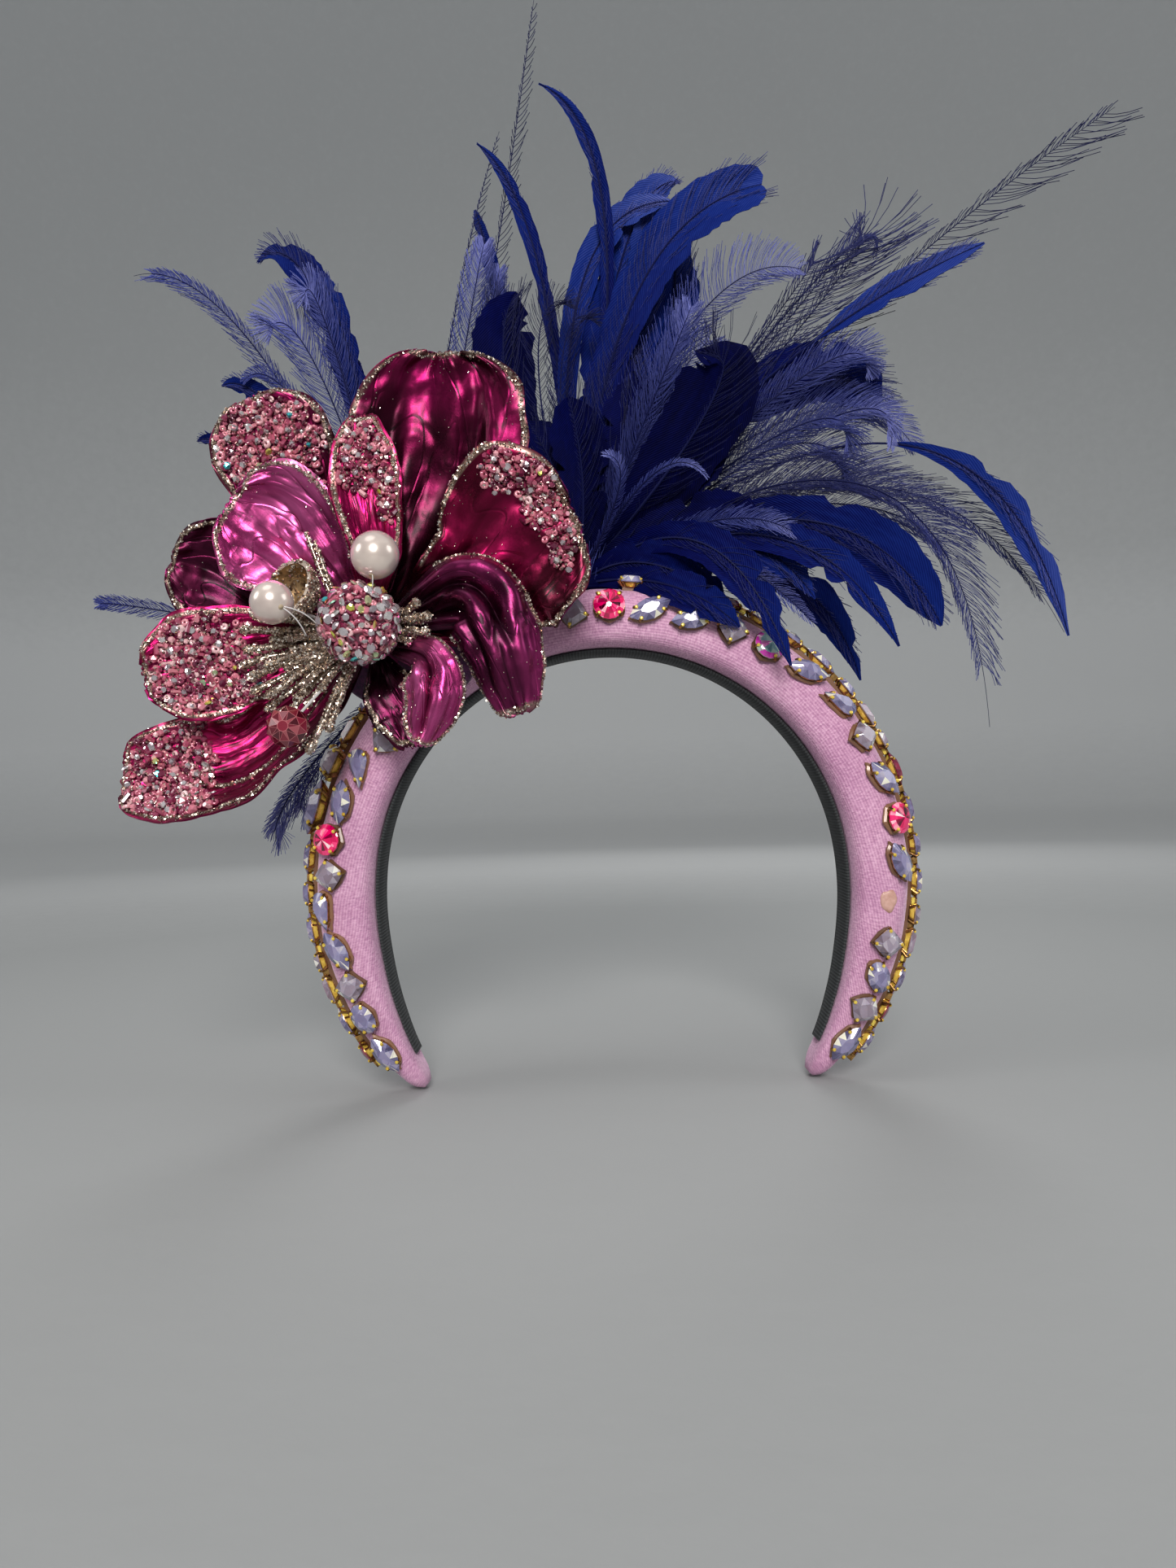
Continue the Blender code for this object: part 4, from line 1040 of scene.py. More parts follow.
def add_stone(build, matrix, cut, scale, gem_slot, draw, glue=True):
    """One stone in its claw setting: base, foiled back, gallery, prongs and crown."""
    length, width = CUTS[cut]
    half_length = length / 2
    half_width = width / 2

    def put(body, slot, tone=0.5):
        points, faces = body
        build.add(([matrix @ (point * scale) for point in points], faces), slot, tone)

    def ring(share, height, count=20, shift=0.0):
        return [Vector((x * half_length * share, y * half_width * share, height))
                for x, y in outline(cut, count, shift)]

    def stack(*rows, ring_closed=False):
        return loft([ring(share, height) for height, share in rows], ring_closed=ring_closed)

    *body, tones = star_body(ring, draw) if cut == "round" else gem_body(ring, cut, draw)
    put(body, gem_slot, tones)
    put(stack((0.0, 0.66), (0.45, 0.7)), GOLD_SLOT)
    put(stack((0.4, 0.6), (2.25, 0.9)), FOIL_SLOT)
    if glue:
        put(stack((1.2, 0.80), (1.2, 0.88), (1.55, 0.92), (1.55, 0.84), ring_closed=True),
            GOLD_SLOT)
    else:
        for post in list(zip(ring(0.68, 0.3), ring(0.94, 2.1)))[1::3]:
            put(tube(post, [0.42, 0.42], 6), GOLD_SLOT)
    put(stack((1.95, 0.88), (1.95, 0.96), (2.35, 0.98), (2.35, 0.90), ring_closed=True), GOLD_SLOT)
    levels = [ring(share, height, 360) for height, share in CLAW_LEVELS]
    for degrees in CLAW_TURNS.get(cut, CLAW_TURNS["round"]):
        path = [level[degrees] for level in levels]
        put(tube(path, [0.5, 0.5, 0.52, 0.5, 0.42], 6), GOLD_SLOT)
        put(ball(path[-1], 0.66, 8, 0.8), FOIL_SLOT)
    if glue:
        edges = [1.0 + 0.06 * math.sin(index * 1.9 + length) for index in range(20)]
        put(loft([[Vector((point.x * edge, point.y * edge, height))
                   for point, edge in zip(ring(share, height), edges)]
                  for height, share in ((-0.25, 1.04), (0.3, 1.03), (0.9, 0.9), (1.0, 0.6))]),
            GLUE_SLOT, draw.random())


def seat_on_velvet(angle, section_angle, lift, turn=0.0):
    """Axes on the velvet: x along the arch turned in the seat's plane, z out of the surface."""
    here, along, normal = velvet_frame(angle, section_angle)
    side = normal.cross(along).normalized()
    if side.dot(here - arch_point(0.0, 0.0)) < 0:
        side = -side
    swing = math.radians(turn)
    length_axis = along * math.cos(swing) + side * math.sin(swing)
    turned = axes(length_axis, normal.cross(length_axis), normal).to_4x4()
    return Matrix.Translation(here + normal * lift) @ turned


def make_front_stones():
    draw = random.Random(11)
    counts = {}
    for color, cut, angle, radius, turn in FRONT_STONES:
        kind = "%s_%s" % (color, cut)
        counts[kind] = counts.get(kind, 0) + 1
        node = "%s_%02d" % (kind, counts[kind])
        build = Build()
        matrix = seat_on_velvet(angle, section_angle_at(angle, radius), GAP, turn)
        add_stone(build, matrix, cut, 1.0, 0, draw)
        finish = "mauve" if kind == "opal_square" else color
        build.show(node + "_in_claws", (finish, "gold", "foil_back", "glue"), FACET_EDGE,
                   color + "_stone", (node,))


def rim_section_angle(angle):
    return -13.0 - 15.0 * max(0.0, math.cos(math.radians(angle))) ** 2


def make_rim_row(node, direction):
    """Stones that follow each other round the outside, on their gilt tape."""
    draw = random.Random(23 + direction)
    build = Build()
    lift = GAP + TAPE_THICKNESS * 0.7
    space = math.degrees(RIM_SPACE / RIM_RADIUS)
    angle = RIM_START
    index = 0
    while True:
        cut = RIM_ORDER[index % len(RIM_ORDER)]
        facing = direction < 0 and RIM_FACING[0] < angle < RIM_FACING[1]
        scale = RIM_FACING_SCALE if facing else RIM_SCALE
        half = math.degrees(CUTS[cut][0] * scale / 2 / RIM_RADIUS)
        middle = angle + half
        if middle + half > RIM_END:
            break
        section_angle = rim_section_angle(middle) - (RIM_FACING_TURN if facing else 0)
        gem_slot = 5 if cut in ("square", "baguette") else 0
        if index % 7 == 3 and not facing:
            gem_slot = 4
        add_stone(build, seat_on_velvet(direction * middle, section_angle, lift), cut, scale,
                  gem_slot, draw, glue=False)
        angle = middle + half + space
        link = angle - space / 2
        matrix = seat_on_velvet(direction * link, rim_section_angle(link), lift)
        for slot, low, high, half_size in ((GOLD_SLOT, 0.0, 2.3, 1.25),
                                           (index % 2 + 1, 0.7, 1.7, 1.38),
                                           (GOLD_SLOT, 2.0, 2.5, 1.4)):
            build.add(loft([[matrix @ Vector((x * half_size, y * half_size, level))
                             for x, y in outline("square", 12)] for level in (low, high)]), slot)
        index += 1
    rings = []
    first = direction * (RIM_START + 1.0)
    last = direction * (angle - 3.0)
    for step in range(121):
        turn = first + (last - first) * step / 120
        here, along, normal = velvet_frame(turn, rim_section_angle(turn))
        side = normal.cross(along).normalized() * TAPE_HALF_WIDTH
        low = here - normal * TAPE_SINK
        high = here + normal * (GAP + TAPE_LIFT + TAPE_THICKNESS * 0.8)
        rings.append([low - side, low + side, high + side * 0.8, high - side * 0.8])
    build.add(loft(rings), GLUE_SLOT, 0.4)
    build.show(node + "_in_claws", ("opal", "gold", "foil_back", "glue", "garnet", "mauve"),
               FACET_EDGE, "gold_setting", (node,))


# Flower

FLOWER_X = -76.0
FLOWER_Z = 6.0
CALYX_PROFILE = ((22.3, 11.0), (26.0, 10.0), (36.0, 8.6), (44.6, 7.4))
COLLAR_FRONT_Y = -44.0
COLLAR_BACK_Y = -41.6
COLLAR_MIDDLE = (COLLAR_FRONT_Y + COLLAR_BACK_Y) / 2
COLLAR_INNER = 8.2
COLLAR_OUTER = 10.4
PETAL_ROOT_GAP = 0.45
PETAL_THICKNESS = 0.9
PETAL_TIP_ROUND = 0.32
PETAL_TIP_SHARE = 0.3
CELLS_ALONG = 80
CELLS_ACROSS = 52
PETALS = {
    "petal_tall_back": (
        (62, -27.6, 11.0, 20, 0),
        (-59.0, -30.0, 42.5, 46.0, 50, 0),
        (-51.5, -32.0, 71.5, 58.0, 50, 0),
        (-50.0, -35.0, 95.0, 54.0, 40, 0),
    ),
    "petal_top_left": (
        (120, -30.2, 10.0, 20, 0),
        (-96.5, -29.0, 43.5, 30.0, 40, 0),
        (-105.5, -31.0, 66.5, 40.0, 45, 0),
        (-112.0, -35.0, 82.0, 36.0, 40, 0),
    ),
    "petal_dark_left": (
        (165, -25.6, 9.0, 20, 0),
        (-109.0, -27.0, 16.0, 28.0, 30, 0),
        (-127.0, -28.0, 27.5, 36.0, 50, 0),
        (-139.5, -32.0, 32.5, 32.0, 60, 0),
    ),
    "petal_smooth_left": (
        (128, -36.0, 9.0, 20, 0),
        (-92.5, -40.0, 27.0, 32.0, 45, 0),
        (-104.0, -43.0, 38.5, 44.0, 45, 0),
        (-115.5, -47.0, 46.5, 40.0, 40, 0),
    ),
    "petal_beaded_left": (
        (191, -36.0, 9.0, 30, 0),
        (-107.0, -41.0, 0.0, 28.0, 50, 0),
        (-125.0, -44.0, -4.0, 36.0, 55, 0),
        (-144.0, -48.0, -7.0, 32.0, 50, 0),
    ),
    "petal_boat_low": (
        (233, -31.0, 9.0, 40, 20),
        (-100.0, -35.0, -24.5, 36.0, 90, 40),
        (-121.0, -40.0, -39.5, 44.0, 100, 38),
        (-153.0, -44.0, -39.0, 46.0, 80, 20),
    ),
    "petal_narrow_top": (
        (81, -38.6, 7.0, 20, 0),
        (-72.0, -42.5, 32.0, 17.0, 60, 0),
        (-73.5, -44.0, 51.0, 24.0, 80, 0),
        (-75.0, -44.0, 72.5, 18.0, 70, 0),
    ),
    "petal_wide_right": (
        (22, -31.0, 9.0, 20, 0),
        (-46.0, -37.5, 18.5, 42.0, 40, 0),
        (-29.5, -42.5, 31.0, 64.0, 50, 0),
        (-8.6, -45.0, 38.6, 57.0, 50, 0),
    ),
    "petal_curl_right": (
        (16, -37.0, 6.5, -30, 0),
        (-44.5, -50.0, 15.5, 30.0, -80, 0),
        (-34.0, -56.0, 2.0, 34.0, -130, 0),
        (-27.5, -50.0, -23.0, 30.0, -150, 0),
    ),
    "petal_curl_low": (
        (-32, -36.0, 6.0, -30, 0),
        (-55.8, -54.5, -4.4, 16.0, -80, 0),
        (-53.2, -59.0, -15.0, 23.0, -120, 0),
        (-58.5, -55.0, -31.5, 21.0, -130, 0),
    ),
    "petal_dark_low": (
        (-74, -33.0, 7.0, 20, 0),
        (-69.5, -38.0, -13.0, 18.0, 30, 0),
        (-64.5, -38.5, -21.0, 22.0, 40, 0),
        (-63.0, -40.0, -31.5, 14.0, 40, 0),
    ),
}

# Look of each petal: foil, gathers and their depth, ruffle, creases and their places, dents.
PETAL_LOOKS = {
    "petal_tall_back": ("magenta", 2, 1.0, 1.6, 2.6, (0.38, -0.52), 3.0),
    "petal_top_left": ("magenta", 4, 0.6, 1.2, 0.5, (0.0,), 1.0),
    "petal_dark_left": ("aubergine", 3, 0.5, 1.4, 0.8, (0.0,), 1.2),
    "petal_smooth_left": ("violet", 7, 1.6, 0.8, 0.6, (0.1,), 1.2),
    "petal_beaded_left": ("hot", 6, 0.6, 1.0, 0.8, (0.0,), 1.0),
    "petal_boat_low": ("hot", 11, 1.0, 1.0, 1.6, (0.1,), 0.9),
    "petal_narrow_top": ("hot", 6, 0.7, 0.6, 0.8, (0.2,), 0.8),
    "petal_wide_right": ("crimson", 4, 0.8, 1.8, 1.8, (0.25, -0.35), 2.6),
    "petal_curl_right": ("plum", 3, 1.0, 1.2, 3.0, (-0.2, 0.45), 3.0),
    "petal_curl_low": ("violet", 3, 0.9, 0.9, 2.6, (0.1,), 2.2),
    "petal_dark_low": ("aubergine", 3, 0.4, 0.8, 0.6, (0.0,), 0.8),
}

# How much narrower the left half of a petal is, by share along it.
LEFT_TRIMS = {
    "petal_wide_right": ((0.0, 0.0), (0.25, 0.12), (0.45, 0.3), (0.6, 0.18), (0.76, 0.0),
                         (1.0, 0.0)),
}

# Glitter lines on a petal's folds: share across, and shares along where they start and end.
INNER_RIMS = {"petal_boat_low": ((-0.1, 0.15, 0.8),)}

# Patches of painted shade: as the beaded ones, and how dark.
PETAL_SHADES = {
    "petal_tall_back": ((0.55, -0.75, 0.5, 0.42, 0.7), (0.3, 0.1, 0.26, 0.9, 0.7),
                        (0.6, 0.15, 0.25, 0.5, 0.35), (0.86, 0.75, 0.2, 0.35, 0.45)),
    "petal_top_left": ((0.6, 1.1, 0.6, 0.32, 1.0),),
    "petal_smooth_left": ((0.5, 0.75, 0.6, 0.6, 0.55),),
    "petal_wide_right": ((0.72, 0.8, 0.4, 0.45, 0.7),),
    "petal_boat_low": ((0.45, -0.8, 0.6, 0.7, 0.75), (0.5, 0.1, 0.5, 0.6, 0.25)),
    "petal_curl_right": ((0.85, 0.15, 0.3, 0.5, 0.6), (0.45, 0.0, 0.35, 0.8, 0.35)),
    "petal_curl_low": ((0.6, 0.6, 0.6, 0.7, 0.35),),
}

# Beaded patches: share along and across of the middle, and half length and half width.
BEAD_PATCHES = {
    "petal_top_left": ((0.72, -0.16, 0.42, 1.04),),
    "petal_beaded_left": ((0.72, -0.2, 0.4, 1.15),),
    "petal_boat_low": ((0.88, 0.1, 0.17, 1.4),),
    "petal_narrow_top": ((0.86, 0.0, 0.22, 1.3), (0.62, 0.6, 0.2, 0.4)),
    "petal_wide_right": ((0.85, -0.72, 0.15, 0.3), (0.90, -0.2, 0.12, 0.5),
                         (0.91, 0.3, 0.09, 0.35)),
    "petal_tall_back": ((0.46, 0.3, 0.035, 0.08), (0.35, -0.4, 0.03, 0.06)),
}

# Strewn layers: name, kind, attribute, spacing, size and lift in metres.
GLITTER_LAYERS = (("glitter_rim", "glitter", "rim", 0.00043, 0.00048, 0.00018),
                  ("dust", "glitter", "dust", 0.00075, 0.00022, 0.00005))
BEAD_LAYERS = (("seed_beads", "beads", "cover", 0.00175, 0.00125, 0.0006),
               ("top_beads", "beads", "cover", 0.0034, 0.0013, 0.0016),
               ("sequins", "sparks", "cover", 0.0046, 0.0011, 0.0020),
               ("grit", "glitter", "cover", 0.0017, 0.0005, 0.0018))


def clamped(value):
    return min(1.0, max(0.0, value))


def flower_point(angle, radius, depth):
    turn = math.radians(angle)
    return Vector((FLOWER_X + radius * math.cos(turn), depth, FLOWER_Z + radius * math.sin(turn)))


def petal_grid(name):
    """Points of a petal's middle surface with its folds, each with its shares, its distance
    from the edge and the painted shade in its fold valleys and creases.
    """
    rows = PETALS[name]
    _, gathers, gather_depth, ruffle, crease, creases_at, dents = PETAL_LOOKS[name]
    angle, depth = rows[0][0:2]
    root = flower_point(angle, linear_row(CALYX_PROFILE, -depth) + PETAL_ROOT_GAP, depth)
    sections = [(*root, *rows[0][2:]), *rows[1:]]
    stations = [(index / (len(sections) - 1), *row) for index, row in enumerate(sections)]
    seed = Vector((sum(map(ord, name)) * 0.37, 0.0, 0.0))
    length = sum((Vector(after[1:4]) - Vector(before[1:4])).length
                 for before, after in zip(stations, stations[1:]))

    def ripple(*place):
        return noise.noise(seed + Vector(place))

    grid = []
    for step in range(CELLS_ALONG + 1):
        share = step / CELLS_ALONG
        x, y, z, width, curl, lean = smooth_row(stations, share)
        before = smooth_row(stations, max(0.0, share - 0.02))[:3]
        after = smooth_row(stations, min(1.0, share + 0.02))[:3]
        run = (Vector(after) - Vector(before)).normalized()
        facing = (FRONT - run * FRONT.dot(run)).normalized()
        side = run.cross(facing)
        swing = math.radians(lean)
        normal = facing * math.cos(swing) + side * math.sin(swing)
        across = run.cross(normal)
        late = max(0.0, (share - 1 + PETAL_TIP_ROUND) / PETAL_TIP_ROUND)
        width *= PETAL_TIP_SHARE + (1 - PETAL_TIP_SHARE) * math.sqrt(max(0.0, 1 - late * late))
        width *= 1 + 0.04 * ripple(share * 6, 3.0, 0.0)
        arc = math.radians(curl)
        radius = width / arc
        line = []
        for cell in range(CELLS_ACROSS + 1):
            over = 2 * cell / CELLS_ACROSS - 1
            turn = arc * over / 2
            if over < 0 and name in LEFT_TRIMS:
                turn *= 1 - linear_row(LEFT_TRIMS[name], share)
            here = (Vector((x, y, z)) + across * (radius * math.sin(turn))
                    + normal * (radius * (1 - math.cos(turn))))
            out = normal * math.cos(turn) - across * math.sin(turn)
            wave = ripple(share * 2.2, over * 1.5, 7.0)
            fold = abs(math.sin(over * gathers * math.pi / 3 + wave * 2.2 + gathers)) ** 0.7 - 0.6
            fade = math.sin(math.pi * min(1.0, share * 1.15)) ** 0.7 if share < 0.87 else 0.3
            lift = fold * gather_depth * fade * (0.5 + 0.5 * (1 - abs(over)))
            rim = max(abs(over) ** 6, late ** 3)
            lift += rim * ruffle * ripple(share * 9, over * 4.5, 1.0) * 1.6
            groove = (max(math.exp(-((over - at) * 7) ** 2) for at in creases_at)
                      * math.sin(math.pi * share) ** 0.6)
            lift -= crease * groove
            lift += dents * ripple(share * 3.3, over * 2.4, 4.0)
            lift += 0.7 * (0.25 - abs(noise.noise(here * 0.12 + seed)))
            edge = min((1 - abs(over)) * width / 2, (1 - share) * length)
            lift -= 0.8 * max(0.0, 1 - edge / 2.2) ** 2
            run_shift = run * (rim * 0.9 * ripple(share * 3, over * 5, 9.0))
            settled = min(1.0, share * 5)
            # Painted shade in the fold valleys and along the creases, fading out at the edges.
            hollow = (max(0.0, -0.1 - fold) * 1.3 * min(1.0, gather_depth)
                      + 0.24 * crease * groove)
            line.append((here + out * lift * settled + run_shift * late, share, over, edge,
                         hollow * (1 - rim)))
        grid.append(line)
    return grid


def cover_share(name, share, over):
    """How far a beaded patch reaches at a place on the petal, from 0 to 1."""
    best = 0.0
    for along, across, half_along, half_across in BEAD_PATCHES.get(name, ()):
        reach = math.hypot((share - along) / half_along, (over - across) / half_across)
        edge = noise.noise(Vector((share * 9, over * 4, 2.0))) * 0.25
        best = max(best, clamped((1.05 + edge - reach) * 5))
    return best


def rim_share(name, share, across, edge):
    """How much glitter lies at a place along the petal's edge and its glittered folds."""
    best = clamped(1.4 - abs(edge - 1.4) * 1.9) if share > 0.22 else 0.0
    for place, start, end in INNER_RIMS.get(name, ()):
        if start < share < end:
            bow = place + 0.12 * math.sin(share * 9)
            best = max(best, min(1.0, 1.4 - abs(across - bow) * 22))
    return best


def petal_mesh(name, number):
    """Thin shell of a petal with attributes for what is strewn on its inside."""
    grid = petal_grid(name)
    rows = CELLS_ALONG
    columns = CELLS_ACROSS
    cells = [(row, column) for row in range(rows + 1) for column in range(columns + 1)]
    normals = {}
    for row, column in cells:
        along = grid[min(row + 1, rows)][column][0] - grid[max(row - 1, 0)][column][0]
        over = grid[row][min(column + 1, columns)][0] - grid[row][max(column - 1, 0)][0]
        normals[row, column] = along.cross(over).normalized()
    points = []
    flow = []
    layers = {"inside": [], "cover": [], "rim": [], "dust": [], "shade": []}
    facing = 1.0 if normals[rows // 2, columns // 2].y < 0 else -1.0
    for side in (facing, -facing):
        front = 1.0 if side == facing else 0.0
        for row, column in cells:
            here, share, across, edge, hollow = grid[row][column]
            rolled = max(abs(across) ** 20, share ** 40)
            half = PETAL_THICKNESS / 2 * (1.0 - 0.3 * rolled)
            points.append(here + normals[row, column] * side * half)
            flow.append((share * 70, across * 20))
            spread = max(0.0, 1 - edge / 10.0) if share > 0.3 else 0.0
            blotch = noise.noise(here * 0.06 + Vector((5.0, number, 0.0)))
            # Patches of painted shade from the table.
            for along, over, half_along, half_over, depth in PETAL_SHADES.get(name, ()):
                away = math.hypot((share - along) / half_along, (across - over) / half_over)
                hollow += depth * clamped(1.4 - 1.2 * away)
            layers["inside"].append(front)
            layers["cover"].append(front * clamped(edge - 1.7) * cover_share(name, share, across))
            layers["rim"].append(front * rim_share(name, share, across, edge))
            layers["dust"].append(front * (0.14 * spread + 0.016))
            # Painted shade: dark towards the root, random dark blotches, and the shade of folds,
            # creases and patches.
            layers["shade"].append(max(0.0, 0.9 - share / 0.42) + max(0.0, 0.5 * blotch) + hollow)
    faces = []

    def add_face(turned, *corners):
        """Face of corners, which are row, column and level."""
        face = [level * len(cells) + row * (columns + 1) + column for row, column, level in corners]
        faces.append(face if turned else face[::-1])

    for level in (0, 1):
        for row in range(rows):
            for column in range(columns):
                add_face(level, (row, column, level), (row, column + 1, level),
                         (row + 1, column + 1, level), (row + 1, column, level))
    for row in range(rows):
        for column in (0, columns):
            add_face(column == 0, (row, column, 1), (row + 1, column, 1), (row + 1, column, 0),
                     (row, column, 0))
    for column in range(columns):
        for row in (0, rows):
            add_face(row == 0, (row, column, 0), (row, column + 1, 0), (row, column + 1, 1),
                     (row, column, 1))
    build = Build()
    build.add((points, faces), flow=flow, inside=layers.pop("inside"))
    mesh = build.mesh(name + "_foil", (PETAL_LOOKS[name][0],), 70.0)
    for label, values in layers.items():
        write(mesh, label, values)
    return mesh


def make_petals():
    nets = {"beads": cover_net("bead_cover", ("seed_bead", "seed_bead", "bugle", "facet"), 0.9),
            "sparks": cover_net("sequin_cover", ("sequin", "facet"), 0.7),
            "glitter": cover_net("glitter_cover", ("chip",), 1.5)}
    for number, name in enumerate(PETALS):
        mesh = petal_mesh(name, number)
        show(name + "_foil", mesh, (name,))
        for label, kind, cover, *sizes in GLITTER_LAYERS + (
                BEAD_LAYERS if name in BEAD_PATCHES else ()):
            strew(nets[kind], kind, "%s_%s" % (name, label), mesh, *sizes, 31 + number * 7, cover)


# Heart of the flower

BALL_CENTRE = Vector((-75.0, -57.0, 5.7))
BALL_RADIUS = 12.0
PEARLS = {
    "pearl_left": (Vector((-99.0, -65.0, 11.5)), 6.5, 172),
    "pearl_top": (Vector((-69.0, -60.0, 25.5)), 7.3, 76),
}
WIRE_RADIUS = 0.45
PEARL_HOLES = {"pearl_left": (0.60, -0.72, -0.34), "pearl_top": (-0.10, -0.42, -0.90)}
PEARL_WIRES = {"pearl_left": ((9.0, 6.0, -4.5), (6.0, 5.0, -8.0)),
               "pearl_top": ((-0.6, 3.0, -5.0),)}
LOOSE_THREADS = (((-92.5, -46.5, 36.0), (-84.5, -48.0, 15.0)),
                 ((-90.0, -46.5, 33.0), (-82.5, -48.5, 13.0)))
ROSE_BEAD = (Vector((-97.0, -58.5, -25.0)), 6.5, 241)
CUP_MOUTH = Vector((-97.5, -53.0, 17.5))
CUP_BOTTOM = Vector((-93.0, -46.0, 14.5))
CUP_ROOT_ANGLE = 145
CUP_RADIUS = 9.8
CUP_WALL = 1.2
STAMEN_TIPS = (
    (-112.5, -51.0, 5.5),
    (-111.5, -52.0, -1.0),
    (-113.5, -50.0, -5.5),
    (-110.0, -53.5, -9.5),
    (-110.0, -50.5, -14.0),
    (-104.5, -54.0, -15.5),
    (-106.0, -49.5, -19.5),
    (-92.0, -55.0, -33.0),
    (-86.5, -52.0, -26.5),
    (-57.5, -53.5, 12.0),
    (-54.0, -53.0, 8.0),
    (-54.5, -54.5, 3.0),
)
CUP_STALK_RADIUS = 0.7
CUP_SIDES = 40
CUP_PROFILE = ((0.0, 0.35), (0.12, 0.58), (0.25, 0.74), (0.6, 0.93), (0.85, 0.99), (1.0, 1.0))

# Spacing, size and lift in metres of the grains on the cup and the stamens.
GRAIN_SIZES = (0.0006, 0.00055, 0.0001)
ROSE_BEAD_POLARS = (15, 45, 76, 104, 135, 165)
PAD_CENTRE = (-66.5, -19.6, -1.0)
PAD_HALF_SIZE = (24.0, 17.5)
WRAP_STEP = 0.18
STAMEN_PROFILE = ((0.0, 1.1), (0.3, 0.85), (0.6, 0.75), (0.85, 0.7), (0.9, 1.0), (0.94, 1.35),
                  (0.98, 1.1), (1.0, 0.45))


def collar_seat(angle, radius):
    return flower_point(angle, COLLAR_OUTER + GAP + radius * 0.6, COLLAR_MIDDLE)


def wire_ends(centre, radius, angle):
    """Seat of a bead's wire on the collar, and the wire's end in the bead."""
    start = collar_seat(angle, WIRE_RADIUS)
    return start, centre + (start - centre).normalized() * radius * 0.5


def covered(mesh, values=None):
    """Copy of a mesh that is covered all over, or as far as the values say."""
    copy = mesh.copy()
    write(copy, "cover", values or [1.0] * len(copy.vertices))
    return copy


def make_heart(nets):
    build = Build()
    build.add(ball(BALL_CENTRE, BALL_RADIUS - 1.5, 32), tone=0.1)
    core = build.mesh("ball_core", ("beads",), ALL_SMOOTH)
    show("ball_core", core, ("beaded_ball",))
    source = covered(core)
    strew(nets["beads"], "beads", "ball_beads", source, 0.0020, 0.00145, 0.0006, 3)
    strew(nets["sparks"], "sparks", "ball_sequins", source, 0.0024, 0.0013, 0.0018, 5)


def make_pearls():
    for name, (centre, radius, angle) in PEARLS.items():
        build = Build()
        build.add(ball(centre, radius, 40))
        start, inside = wire_ends(centre, radius, angle)
        middle = (start + inside) / 2 + Vector((0.0, -1.0, 0.6))
        build.add(tube(curve_through(start, middle, inside, 12), [WIRE_RADIUS] * 13, 10), 1)
        outward = Vector(PEARL_HOLES[name]).normalized()
        mouth = centre + outward * radius * 0.985
        build.add(tube([mouth - outward * 0.6, mouth + outward * 0.12], [0.95, 0.8], 14), 2)
        for shift in PEARL_WIRES[name]:
            aim = mouth + Vector(shift)
            bow = (mouth + aim) / 2 + Vector((0.6, -1.2, 1.0))
            build.add(tube(curve_through(mouth - outward, bow, aim, 16), [0.2] * 17, 8), 1)
        build.show(name + "_lacquered", ("pearl", "wire", "hole"), ALL_SMOOTH, "pearl", (name,))


def make_rose_bead():
    """Faceted round bead: bands of triangles and quads round the wire's axis."""
    centre, radius, angle = ROSE_BEAD
    draw = random.Random(5)
    points = []
    for row, polar in enumerate(ROSE_BEAD_POLARS):
        level = math.radians(polar)
        for step in range(10):
            turn = (step + (0.5 if row % 2 else 0.0)) * 0.6283
            points.append(centre + Vector((radius * math.sin(level) * math.cos(turn),
                                           radius * math.cos(level),
                                           radius * math.sin(level) * math.sin(turn))))
    faces = [list(range(10))[::-1], list(range(50, 60))]
    for row in range(5):
        for step, after in pairs(10):
            first = row * 10 + step
            second = row * 10 + after
            third = second + 10
            fourth = first + 10
            if row % 2:
                faces += [[first, second, third], [first, third, fourth]]
            else:
                faces += [[first, second, fourth], [second, third, fourth]]
    # Each facet gets a thin frame at a light tone, a painted highlight along its edges, and a
    # random tone inside.
    framed = []
    tones = []
    for face in faces:
        middle = sum((points[index] for index in face), Vector()) / len(face)
        start = len(points)
        points += [points[index].lerp(middle, 0.08) for index in face]
        framed += [[face[step], face[after], start + after, start + step]
                   for step, after in pairs(len(face))]
        framed.append([start + step for step in range(len(face))])
        tones += [0.8] * len(face) + [draw.uniform(0.1, 0.7)]
    build = Build()
    build.add((points, framed), tone=tones)
    build.add(tube(wire_ends(*ROSE_BEAD), [WIRE_RADIUS] * 2, 10), 1)
    build.show("rose_bead_faceted", ("rose_crystal", "wire"), 10.0, "beads", ("rose_bead",))


